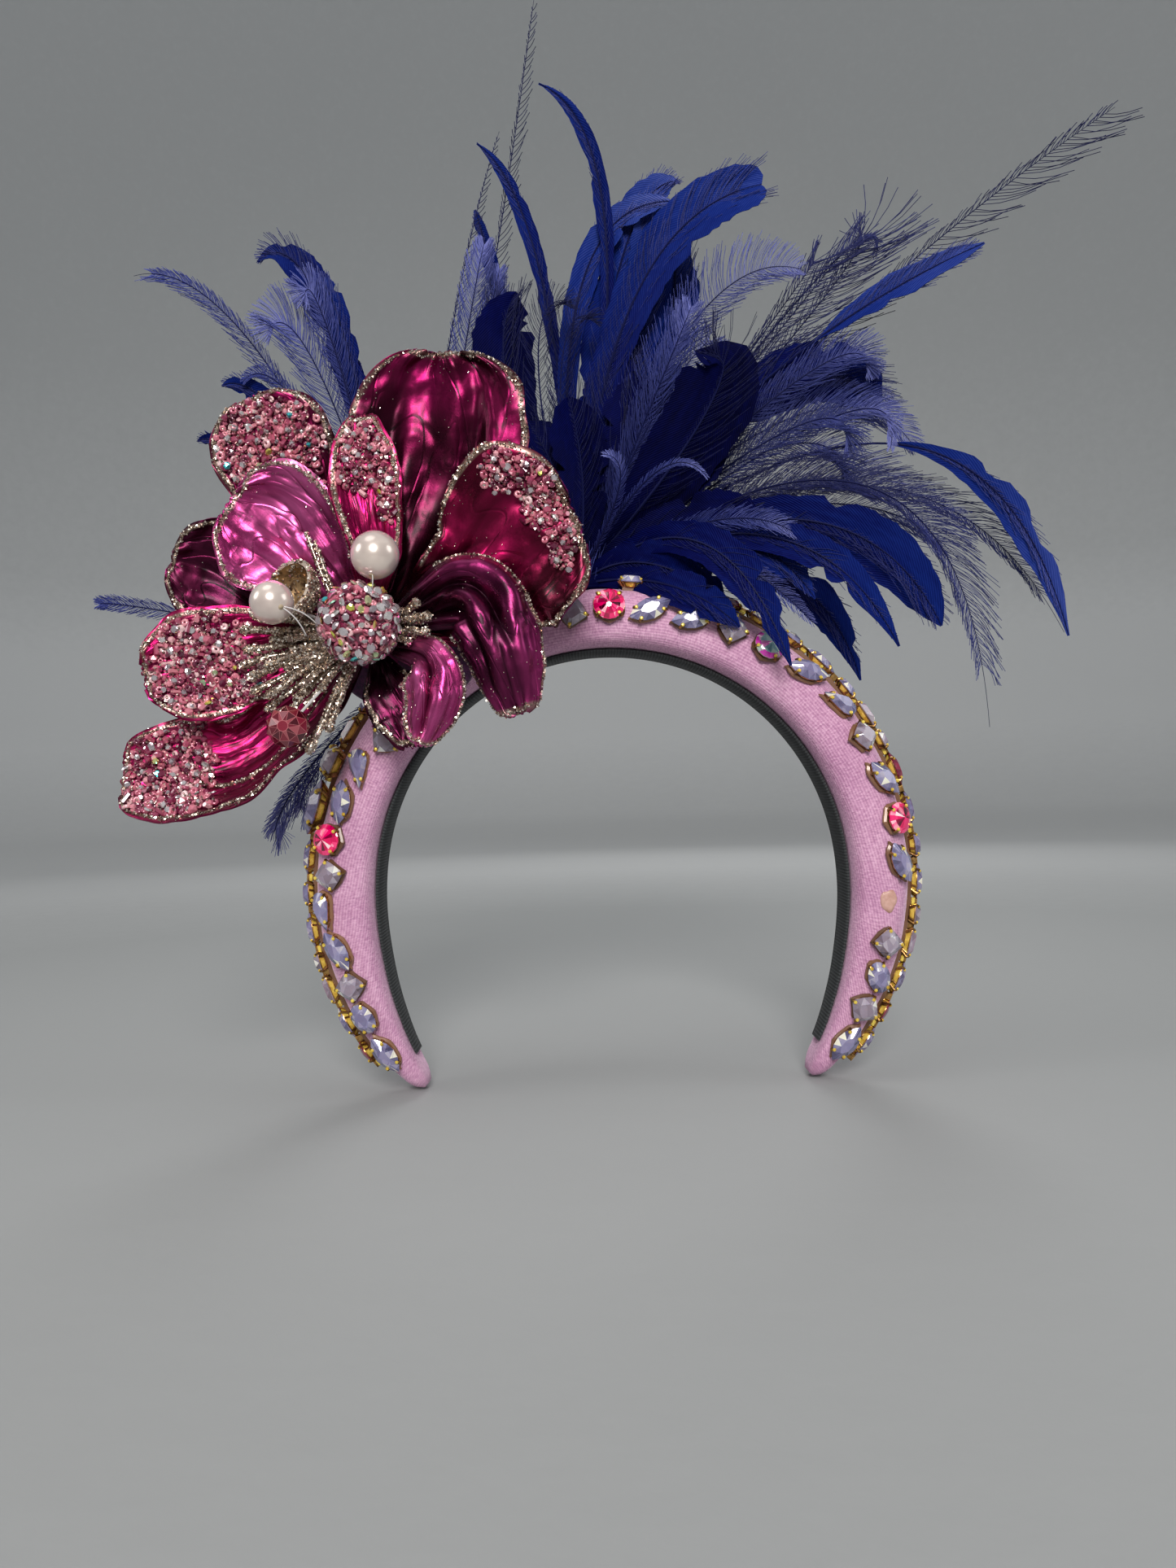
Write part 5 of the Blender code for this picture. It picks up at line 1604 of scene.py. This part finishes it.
def make_cup(nets):
    """Glittered bell with its open mouth towards the viewer."""
    axis = (CUP_MOUTH - CUP_BOTTOM).normalized()
    side = axis.cross(Vector((0.0, 0.0, 1.0))).normalized()
    up = axis.cross(side)
    depth = (CUP_MOUTH - CUP_BOTTOM).length
    wall = CUP_WALL / CUP_RADIUS
    profile = [(share * depth, size * CUP_RADIUS) for share, size in CUP_PROFILE]
    profile += [(max(CUP_WALL, share * depth), (size - wall) * CUP_RADIUS)
                for share, size in reversed(CUP_PROFILE)]
    body = loft([circle(CUP_BOTTOM + axis * height, side, up, radius, CUP_SIDES)
                 for height, radius in profile])
    build = Build()
    build.add(body, tone=0.45)
    inner = [index > CUP_SIDES * len(CUP_PROFILE) for index in range(len(body[0]))]
    build.slots = [1 if all(inner[point] for point in face) else 0 for face in body[1]]
    root = collar_seat(CUP_ROOT_ANGLE, CUP_STALK_RADIUS)
    build.add(tube([root, CUP_BOTTOM + axis * CUP_WALL * 0.6], [CUP_STALK_RADIUS] * 2, 10),
              tone=0.3)
    mesh = build.mesh("glitter_cup_bell", ("glitter", "cup_gold"), SOFT_EDGE)
    show("glitter_cup_bell", mesh, ("glitter_cup",))
    cover = [0.22 if hidden else 1.0 for hidden in inner]
    cover += [1.0] * (len(mesh.vertices) - len(inner))
    strew(nets["glitter"], "glitter", "glitter_cup_grains", covered(mesh, cover), *GRAIN_SIZES, 9)


def make_stamens(nets):
    """Collar with its glittered stamens: the long ones, the short ones and two loose threads."""
    build = Build()
    build.add(loft([[flower_point(10.0 * step, radius, depth) for step in range(36)]
                    for depth, radius in ((COLLAR_BACK_Y, COLLAR_INNER),
                                          (COLLAR_BACK_Y, COLLAR_OUTER),
                                          (COLLAR_FRONT_Y, COLLAR_OUTER),
                                          (COLLAR_FRONT_Y, COLLAR_INNER))], ring_closed=True),
              tone=0.3)
    draw = random.Random(17)
    foot = COLLAR_OUTER - 0.9
    for tip in map(Vector, STAMEN_TIPS):
        outward = Vector((tip.x - FLOWER_X, 0.0, tip.z - FLOWER_Z)).normalized()
        root = Vector((FLOWER_X, COLLAR_MIDDLE, FLOWER_Z)) + outward * foot
        bow = (root + tip) / 2 + Vector((0.0, -1.5, 0.0))
        path = []
        radii = []
        for step, here in enumerate(bend_curve(root, bow, tip, 28)):
            share = step / 28
            wave = 0.5 * math.sin(share * 9 + tip.z) * math.sin(math.pi * share)
            path.append(here + Vector((0.0, 0.0, wave)))
            radii.append(linear_row(STAMEN_PROFILE, share) * draw.uniform(0.92, 1.08))
        build.add(tube(path, radii, 8), tone=0.4)
    for index in range(26):
        turn = draw.uniform(168, 246) if index < 20 else draw.uniform(-20, 12)
        reach = draw.uniform(22, 37) if index < 20 else draw.uniform(16, 21)
        root = flower_point(turn, foot, COLLAR_MIDDLE)
        tip = flower_point(turn + draw.uniform(-5, 5), reach, draw.uniform(-54, -46))
        middle = (root + tip) / 2 + Vector((0.0, draw.uniform(-2, 0), 0.0))
        radii = [linear_row(STAMEN_PROFILE, step / 24) * 0.85 for step in range(25)]
        build.add(tube(curve_through(root, middle, tip, 24), radii, 7), tone=0.4)
    root = flower_point(125, foot, COLLAR_MIDDLE)
    for tip, middle in LOOSE_THREADS:
        path = curve_through(root, Vector(middle), Vector(tip), 24)
        build.add(tube(path, [0.62 - 0.2 * step / 24 for step in range(25)], 7), tone=0.4)
    mesh = build.mesh("stamen_threads", ("glitter",), SOFT_EDGE)
    show("stamen_threads", mesh, ("stamens",))
    strew(nets["glitter"], "glitter", "stamen_grains", covered(mesh), *GRAIN_SIZES, 12)


def make_pad_and_calyx():
    """Soft felt pad with a rounded edge, and the calyx wrapped in foil tape."""
    x, y, z = PAD_CENTRE
    half_length, half_width = PAD_HALF_SIZE
    pad = loft([[Vector((x + half_length * share * math.cos(turn), y - level,
                         z + half_width * share * math.sin(turn))) for turn in turns(64)]
                for level, share in ((0.0, 0.96), (0.4, 0.99), (1.2, 1.0), (2.0, 0.99),
                                     (2.4, 0.95))])
    show_body("felt_pad", pad, "felt", "felt", ("flower_pad",))
    rings = []
    first = CALYX_PROFILE[0][0]
    last = CALYX_PROFILE[-1][0]
    for step in range(40):
        depth = first + (last - first) * step / 39
        radius = linear_row(CALYX_PROFILE, depth) - WRAP_STEP * (step % 4)
        rings.append([flower_point(360 * turn / 32, radius, -depth) for turn in range(32)])
    show_body("wrapped_calyx", loft(rings), "plum", "petal_foil", ("flower_calyx",))


# Plumes: mid x, y, z, tip x, y, z, width, kind and tone of each feather.
PLUMES = {
    "plume_left": {
        "seat": (-39.0, 24.0),
        "head": (13.0, 8.0, 7.0),
        "feathers": (
            (-94, 8, 122, -120, 10, 146, 13, "blade", 0.42),
            (-121, 12, 114, -166, 14, 144, 9, "comb", 0.7),
            (-109, 14, 84, -136, 16, 104, 9, "blade", 0.45),
            (-119, 16, 68, -146, 18, 85, 8, "blade", 0.35),
            (-150, 6, 20, -178, 4, 24, 6, "wisp", 0.6),
            (-106, 6, -36, -119, 4, -61, 10, "comb", 0.95),
            (-92, 4, 111, -102, 2, 128, 11, "wisp", 0.85),
            (-97, 8, 101, -116, 8, 121, 17, "wisp", 0.85),
            (-87, 6, 109, -98, 6, 135, 8, "blade", 0.55),
            (-103, 10, 88, -127, 12, 104, 6, "wisp", 0.6),
            (-111, 8, -44, -117, 6, -58, 10, "comb", 0.95),
            (-102, 8, -35, -109, 6, -52, 10, "comb", 1.0),
            (-39, 14, 126, -18, 14, 240, 3, "quill", 0.1),
            (-54, 11, 105, -32, 12, 191, 2, "quill", 0.15),
            (-47, 4, 105, -38, 2, 146, 11, "wisp", 0.85),
            (-43, 6, 98, -33, 6, 139, 9, "wisp", 0.75),
        ),
    },
    "plume_right": {
        "seat": (-5.0, 22.0),
        "head": (15.0, 9.0, 9.0),
        "feathers": (
            (5, 4, 150, -17, 2, 202, 6, "blade", 0.5),
            (-18, 9, 135, -40, 10, 186, 6, "blade", 0.48),
            (-32, 14, 125, -42, 16, 165, 6, "blade", 0.45),
            (-31, 2, 92, -27, 0, 128, 22, "blade", 0.12),
            (14, 0, 124, 59, -6, 160, 19, "round", 0.55),
            (9, 12, 138, 32, 12, 171, 14, "blade", 0.72),
            (24, 16, 108, 29, 18, 152, 18, "leaf", 0.55),
            (31, -7, 109, 71, -7, 130, 12, "fringe", 0.88),
            (60, 10, 108, 95, 10, 148, 12, "quill", 0.4),
            (98, 14, 126, 191, 14, 194, 7, "quill", 0.15),
            (62, 6, 98, 138, 2, 141, 12, "flag", 0.65),
            (58, 12, 98, 103, 14, 88, 20, "wisp", 0.7),
            (33, -13, 74, 42, -20, 100, 28, "hook", 0.06),
            (68, 4, 82, 111, 2, 70, 15, "wisp", 0.8),
            (104, -2, 70, 160, -6, 1, 11, "tail", 0.65),
            (92, -8, 54, 129, -14, -30, 16, "comb", 0.5),
            (98, 8, 58, 165, 10, 4, 13, "comb", 0.5),
            (68, -14, 42, 112, -20, 4, 18, "leaf", 0.4),
            (56, -18, 36, 96, -26, -3, 12, "blade", 0.42),
            (32, -22, 34, 59, -34, -9, 14, "blade", 0.33),
            (58, 6, 30, 91, 8, -11, 14, "blade", 0.45),
            (-20, -4, 103, -7, -6, 121, 10, "spike", 0.1),
            (-12, -4, 100, 1, -6, 115, 10, "spike", 0.15),
            (-5, 8, 130, 29, 8, 162, 10, "leaf", 0.75),
            (16, 12, 120, 22, 16, 160, 18, "leaf", 0.66),
            (4, 10, 108, 14, 14, 141, 21, "leaf", 0.5),
            (8, 0, 61, 19, -4, 96, 26, "leaf", 0.1),
            (18, -2, 55, 42, -6, 75, 23, "leaf", 0.06),
            (23, -6, 41, 54, -12, 43, 20, "leaf", 0.1),
            (-6, -4, 58, -10, -8, 88, 20, "leaf", 0.1),
            (14, -10, 30, 40, -16, 16, 17, "leaf", 0.3),
            (-13, -2, 56, -24, -4, 81, 17, "leaf", 0.1),
            (0, 2, 70, 10, 4, 105, 23, "leaf", 0.25),
            (18, -6, 79, 39, -8, 106, 17, "wisp", 0.75),
            (56, 2, 69, 87, 0, 63, 20, "wisp", 0.6),
            (61, 4, 58, 97, 2, 53, 20, "comb", 0.7),
            (75, 2, 51, 125, 0, 29, 20, "comb", 0.55),
            (60, 8, 93, 100, 6, 86, 22, "leaf", 0.3),
            (36, -16, 42, 66, -20, 35, 8, "wisp", 0.85),
            (33, -16, 31, 69, -22, 6, 8, "wisp", 0.75),
            (6, -20, 53, 1, -26, 63, 4, "wisp", 0.85),
            (17, -20, 57, 35, -24, 55, 3, "wisp", 0.85),
            (39, -12, 38, 71, -16, 15, 14, "blade", 0.45),
            (21, -18, 21, 44, -26, 5, 13, "blade", 0.35),
            (75, 12, 118, 97, 12, 149, 9, "quill", 0.3),
            (58, 8, 111, 79, 8, 139, 9, "quill", 0.35),
            (79, 10, 132, 102, 12, 141, 2, "quill", 0.5),
            (79, -2, 79, 101, -4, 68, 8, "wisp", 0.95),
            (68, -2, 92, 96, 0, 97, 13, "wisp", 0.8),
            (66, -2, 76, 88, 0, 68, 13, "wisp", 0.75),
            (20, -8, 88, 33, -10, 117, 12, "wisp", 0.8),
        ),
    },
}

# Share along the stem and share of the width, for each kind of vane.
VANES = {
    "blade": ((0.0, 0.15), (0.25, 0.6), (0.5, 0.95), (0.7, 1.0), (0.86, 0.62), (0.95, 0.26),
              (1.0, 0.03)),
    "leaf": ((0.0, 0.15), (0.3, 0.7), (0.55, 1.0), (0.75, 1.05), (0.9, 0.72), (0.97, 0.3),
             (1.0, 0.03)),
    "round": ((0.0, 0.12), (0.3, 0.6), (0.6, 0.95), (0.82, 1.05), (0.93, 0.95), (0.98, 0.7),
              (1.0, 0.35)),
    "tail": ((0.0, 0.05), (0.48, 0.06), (0.56, 0.4), (0.7, 1.0), (0.84, 0.95), (0.94, 0.45),
             (1.0, 0.03)),
    "flag": ((0.0, 0.05), (0.62, 0.06), (0.67, 0.55), (0.74, 0.8), (0.8, 1.0), (0.88, 0.75),
             (0.93, 0.7), (0.97, 0.35), (1.0, 0.03)),
    "hook": ((0.0, 0.3), (0.3, 0.85), (0.6, 1.05), (0.8, 0.85), (0.92, 0.3), (1.0, 0.05)),
}
BARB_REACH = ((0.0, 0.5), (0.2, 0.85), (0.5, 1.1), (0.75, 1.0), (0.92, 0.6), (1.0, 0.25))
QUILL_REACH = ((0.0, 0.3), (0.45, 0.85), (0.88, 1.1), (1.0, 0.72))

# Barbs of each kind: side, start, end, spacing, reach as a share of half the width, slope.
BARBS = {
    "blade": ((-1, 0.15, 0.97, 1.5, 1.1, 55), (1, 0.15, 0.97, 1.5, 1.1, 55)),
    "leaf": ((-1, 0.15, 0.98, 1.3, 1.1, 52), (1, 0.15, 0.98, 1.3, 1.1, 52)),
    "round": ((-1, 0.2, 0.93, 0.9, 1.08, 50), (1, 0.2, 0.93, 0.9, 1.08, 50)),
    "tail": ((-1, 0.52, 0.98, 1.2, 1.0, 58), (1, 0.52, 0.98, 1.2, 1.0, 58)),
    "flag": ((-1, 0.6, 0.98, 0.9, 1.25, 52), (1, 0.6, 0.98, 0.9, 1.25, 52)),
    "hook": ((-1, 0.2, 0.95, 1.4, 1.05, 50), (1, 0.2, 0.95, 1.4, 1.05, 50)),
    "wisp": ((-1, 0.06, 1.0, 0.6, 1.2, 48), (1, 0.06, 1.0, 0.6, 1.2, 48)),
    "comb": ((-1, 0.12, 0.92, 0.8, 1.35, 54), (1, 0.12, 0.92, 0.55, 0.75, 54)),
    "fringe": ((-1, 0.25, 1.0, 0.7, 2.1, 30), (1, 0.15, 1.0, 0.6, 1.4, 40)),
    "quill": ((1, 0.3, 0.99, 2.5, 3.6, 46), (-1, 0.3, 0.99, 1.9, 1.1, 60)),
    "spike": ((-1, 0.1, 1.0, 1.3, 1.3, 44), (1, 0.1, 1.0, 1.3, 1.3, 44)),
}
STEM_CELLS = 48
HEAD_PROFILE = ((0.0, 1.0), (0.2, 1.0), (0.45, 0.95), (0.7, 0.78), (0.85, 0.6), (1.0, 0.3))
HEAD_TURNS = 8
DOWN_BARBS = 420
VANE_CELLS = 12
HOOK_START = 38

# Radii in metres of the strands.
BARB_STRAND = 0.00011
QUILL_STRAND = 0.00016


def feather_frames(root, middle, tip, kind):
    """Points along a feather with its run, its side and the way its face looks."""
    path = curve_through(root, middle, tip, STEM_CELLS)
    if kind == "hook":
        for index in range(HOOK_START, STEM_CELLS + 1):
            late = (index - HOOK_START) / (STEM_CELLS - HOOK_START)
            path[index] += Vector((-9.0 * late ** 2, -2.0 * late, -3.0 * late ** 2))
    frames = []
    for index, here in enumerate(path):
        run = (path[min(index + 1, STEM_CELLS)] - path[max(index - 1, 0)]).normalized()
        facing = (FRONT - run * FRONT.dot(run)).normalized()
        frames.append((here, run, run.cross(facing), facing))
    return frames


def add_vane(build, frames, width, kind, tone, draw):
    """Coque vane: a thin ridged blade with ragged, split edges."""
    bow = draw.uniform(0.08, 0.24)
    twist = draw.uniform(-0.6, 0.6)
    phase = draw.uniform(0, 40)
    splits = [(draw.uniform(0.35, 0.92), draw.choice((-1, 1)), draw.uniform(0.3, 0.65))
              for _ in range(draw.choice((2, 3, 4)))]
    rings = []
    flow = []
    tones = []
    for index, (here, run, side, facing) in enumerate(frames):
        share = index / STEM_CELLS
        size = linear_row(VANES[kind], share) * width / 2
        swing = twist * share
        over = side * math.cos(swing) + facing * math.sin(swing)
        out = facing * math.cos(swing) - side * math.sin(swing)
        line = []
        places = []
        for cell in range(VANE_CELLS + 1):
            place = 2 * cell / VANE_CELLS - 1
            half = max(size, 0.35)
            half *= 1 + 0.13 * noise.noise(Vector((share * 40, phase + (place > 0) * 9, 0)))
            for at, hand, depth in splits:
                if place * hand > 0:
                    half *= 1 - depth * math.exp(-((share - at) * 55) ** 2)
            lift = bow * half * (abs(place) ** 1.4) - 0.35 * math.exp(-(place * 5) ** 2)
            lift += 0.6 * noise.noise(Vector((share * 7, place * 1.2, phase)))
            slant = abs(place) * half * 0.35
            line.append(here + over * (half * place) + out * lift + run * slant)
            places.append((share * 60 + abs(place) * half * 1.1, place * half))
        rings.append([point + out * 0.12 for point in line]
                     + [point - out * 0.12 for point in reversed(line)])
        flow += places + places[::-1]
        # Tone of the feather, with painted shade towards the root and painted light on the left
        # half.
        if index:
            for cell in [*range(VANE_CELLS + 1), *range(VANE_CELLS, -1, -1)]:
                left = cell / VANE_CELLS - 0.5 < 0
                tones.append(tone * (0.25 + 0.85 * share) + (0.06 if left else 0.0)
                             + draw.uniform(-0.02, 0.02))
    tones += [tone, tone]
    build.add(loft(rings), 0, tones, flow=flow)


def strand_turn(out, up):
    return axes(out, up, out.cross(up)).to_euler()


def barb_rows(frames, width, kind, tone, draw):
    """Roots of the barbs on both sides of a stem, with their turns, lengths and tones."""
    rows = []
    length = sum((after[0] - before[0]).length for before, after in zip(frames, frames[1:]))
    open_quill = kind == "quill" and width > 5
    table = VANES.get(kind, QUILL_REACH if open_quill else BARB_REACH)
    for hand, start, end, spacing, reach, slope in BARBS[kind]:
        count = max(2, int(length * (end - start) / spacing))
        for step in range(count):
            share = start + (end - start) * (step + draw.uniform(-0.3, 0.3)) / count
            index = max(0, min(int(share * STEM_CELLS), STEM_CELLS - 1))
            here, run, side, facing = frames[index]
            here = here.lerp(frames[index + 1][0], share * STEM_CELLS - index)
            lean = math.radians(slope) + draw.uniform(-0.12, 0.12)
            out = side * hand * math.cos(lean) + run * math.sin(lean)
            out = (out + facing * draw.uniform(-0.1, 0.22)).normalized()
            up = (run - out * run.dot(out)).normalized()
            size = linear_row(table, share) * width / 2 * reach
            size *= draw.uniform(0.85, 1.12) / math.cos(math.radians(slope))
            # Painted shade towards the root of the stem.
            shade = tone * (0.35 + 0.75 * share) + draw.uniform(-0.08, 0.12)
            rows.append((here, strand_turn(out, up), max(size, 1.2), shade))
    return rows


def make_plume(name, plume, net, seed):
    draw = random.Random(seed)
    length, width, height = plume["head"]
    here, _, normal = velvet_frame(*plume["seat"])
    matrix = seat_on_velvet(*plume["seat"], GAP)
    heart = here + normal * (GAP + height * 0.55)
    barbs = {"vane_barbs": [], "loose_barbs": [], "quill_barbs": []}

    def head_point(share, turn, level):
        return matrix @ Vector((length * share * math.cos(turn), width * share * math.sin(turn),
                                height * level))

    vanes = Build()
    rings = []
    for step in range(HEAD_TURNS * 4 + 1):
        level = step / (HEAD_TURNS * 4)
        share = linear_row(HEAD_PROFILE, level) * (1.0 if step % 4 in (1, 2) else 0.965)
        rings.append([head_point(share, turn, level) for turn in turns(40)])
    vanes.add(loft(rings), 0, 0.12)
    for _ in range(DOWN_BARBS):
        turn = draw.uniform(0, 2 * math.pi)
        level = draw.uniform(0.35, 1.0)
        here = head_point(linear_row(HEAD_PROFILE, level) * 0.95, turn, level)
        out = (matrix.to_3x3() @ Vector((math.cos(turn) * (1.2 - level),
                                         math.sin(turn) * (1.2 - level),
                                         draw.uniform(0.5, 1.6)))).normalized()
        up = out.orthogonal().normalized()
        up = (up + out.cross(up) * draw.uniform(-1, 1)).normalized()
        barbs["loose_barbs"].append((here, strand_turn(out, up), draw.uniform(7, 15),
                                     draw.uniform(0.2, 0.75)))
    for *place, size, kind, tone in plume["feathers"]:
        middle = Vector(place[0:3])
        root = heart + (middle - heart).normalized() * 3.0
        frames = feather_frames(root, middle, Vector(place[3:6]), kind)
        thick = 0.6 if kind in VANES else 0.42
        radii = [thick * (1 - 0.8 * index / STEM_CELLS) for index in range(STEM_CELLS + 1)]
        vanes.add(tube([item[0] + item[3] * 0.25 for item in frames], radii, 5), 1)
        if kind in VANES:
            add_vane(vanes, frames, size, kind, tone, draw)
        group = "vane_barbs" if kind in VANES else "loose_barbs"
        barbs["quill_barbs" if kind == "quill" else group] += barb_rows(frames, size, kind, tone,
                                                                        draw)
    vanes.show(name + "_coque", ("vane", "stem"), SOFT_EDGE, "feather", (name,))
    for label, rows in barbs.items():
        roots = bpy.data.meshes.new(label + "_roots")
        roots.from_pydata([tuple(row[0] * MM) for row in rows], [], [])
        write(roots, "turn", [value for row in rows for value in row[1]], kind="FLOAT_VECTOR")
        write(roots, "reach", [row[2] * MM for row in rows])
        write(roots, "shade", [row[3] for row in rows])
        label = "%s_%s" % (name, label)
        radius = QUILL_STRAND if label.endswith("quill_barbs") else BARB_STRAND
        show(label, net.run(label, roots, {
            "Strand radius": radius, "Bend": 0.25, "Droop": 0.06, "Segments": 4,
            "Material": FINISHES["barbs"]}))


def main():
    make_finishes()
    make_camera()
    make_lamps()
    make_cove()
    make_velvet()
    make_lining()
    make_glue_spot()
    make_front_stones()
    make_rim_row("rim_row_left", -1)
    make_rim_row("rim_row_right", 1)
    make_petals()
    nets = {"beads": cover_net("ball_bead_cover", ("seed_bead", "seed_bead", "facet"), 1.0),
            "sparks": cover_net("ball_sequin_cover", ("sequin",), 0.8),
            "glitter": cover_net("thread_glitter", ("chip",), 1.5)}
    make_heart(nets)
    make_pearls()
    make_rose_bead()
    make_cup(nets)
    make_stamens(nets)
    make_pad_and_calyx()
    net = barb_net()
    make_plume("plume_left", PLUMES["plume_left"], net, 41)
    make_plume("plume_right", PLUMES["plume_right"], net, 57)


main()
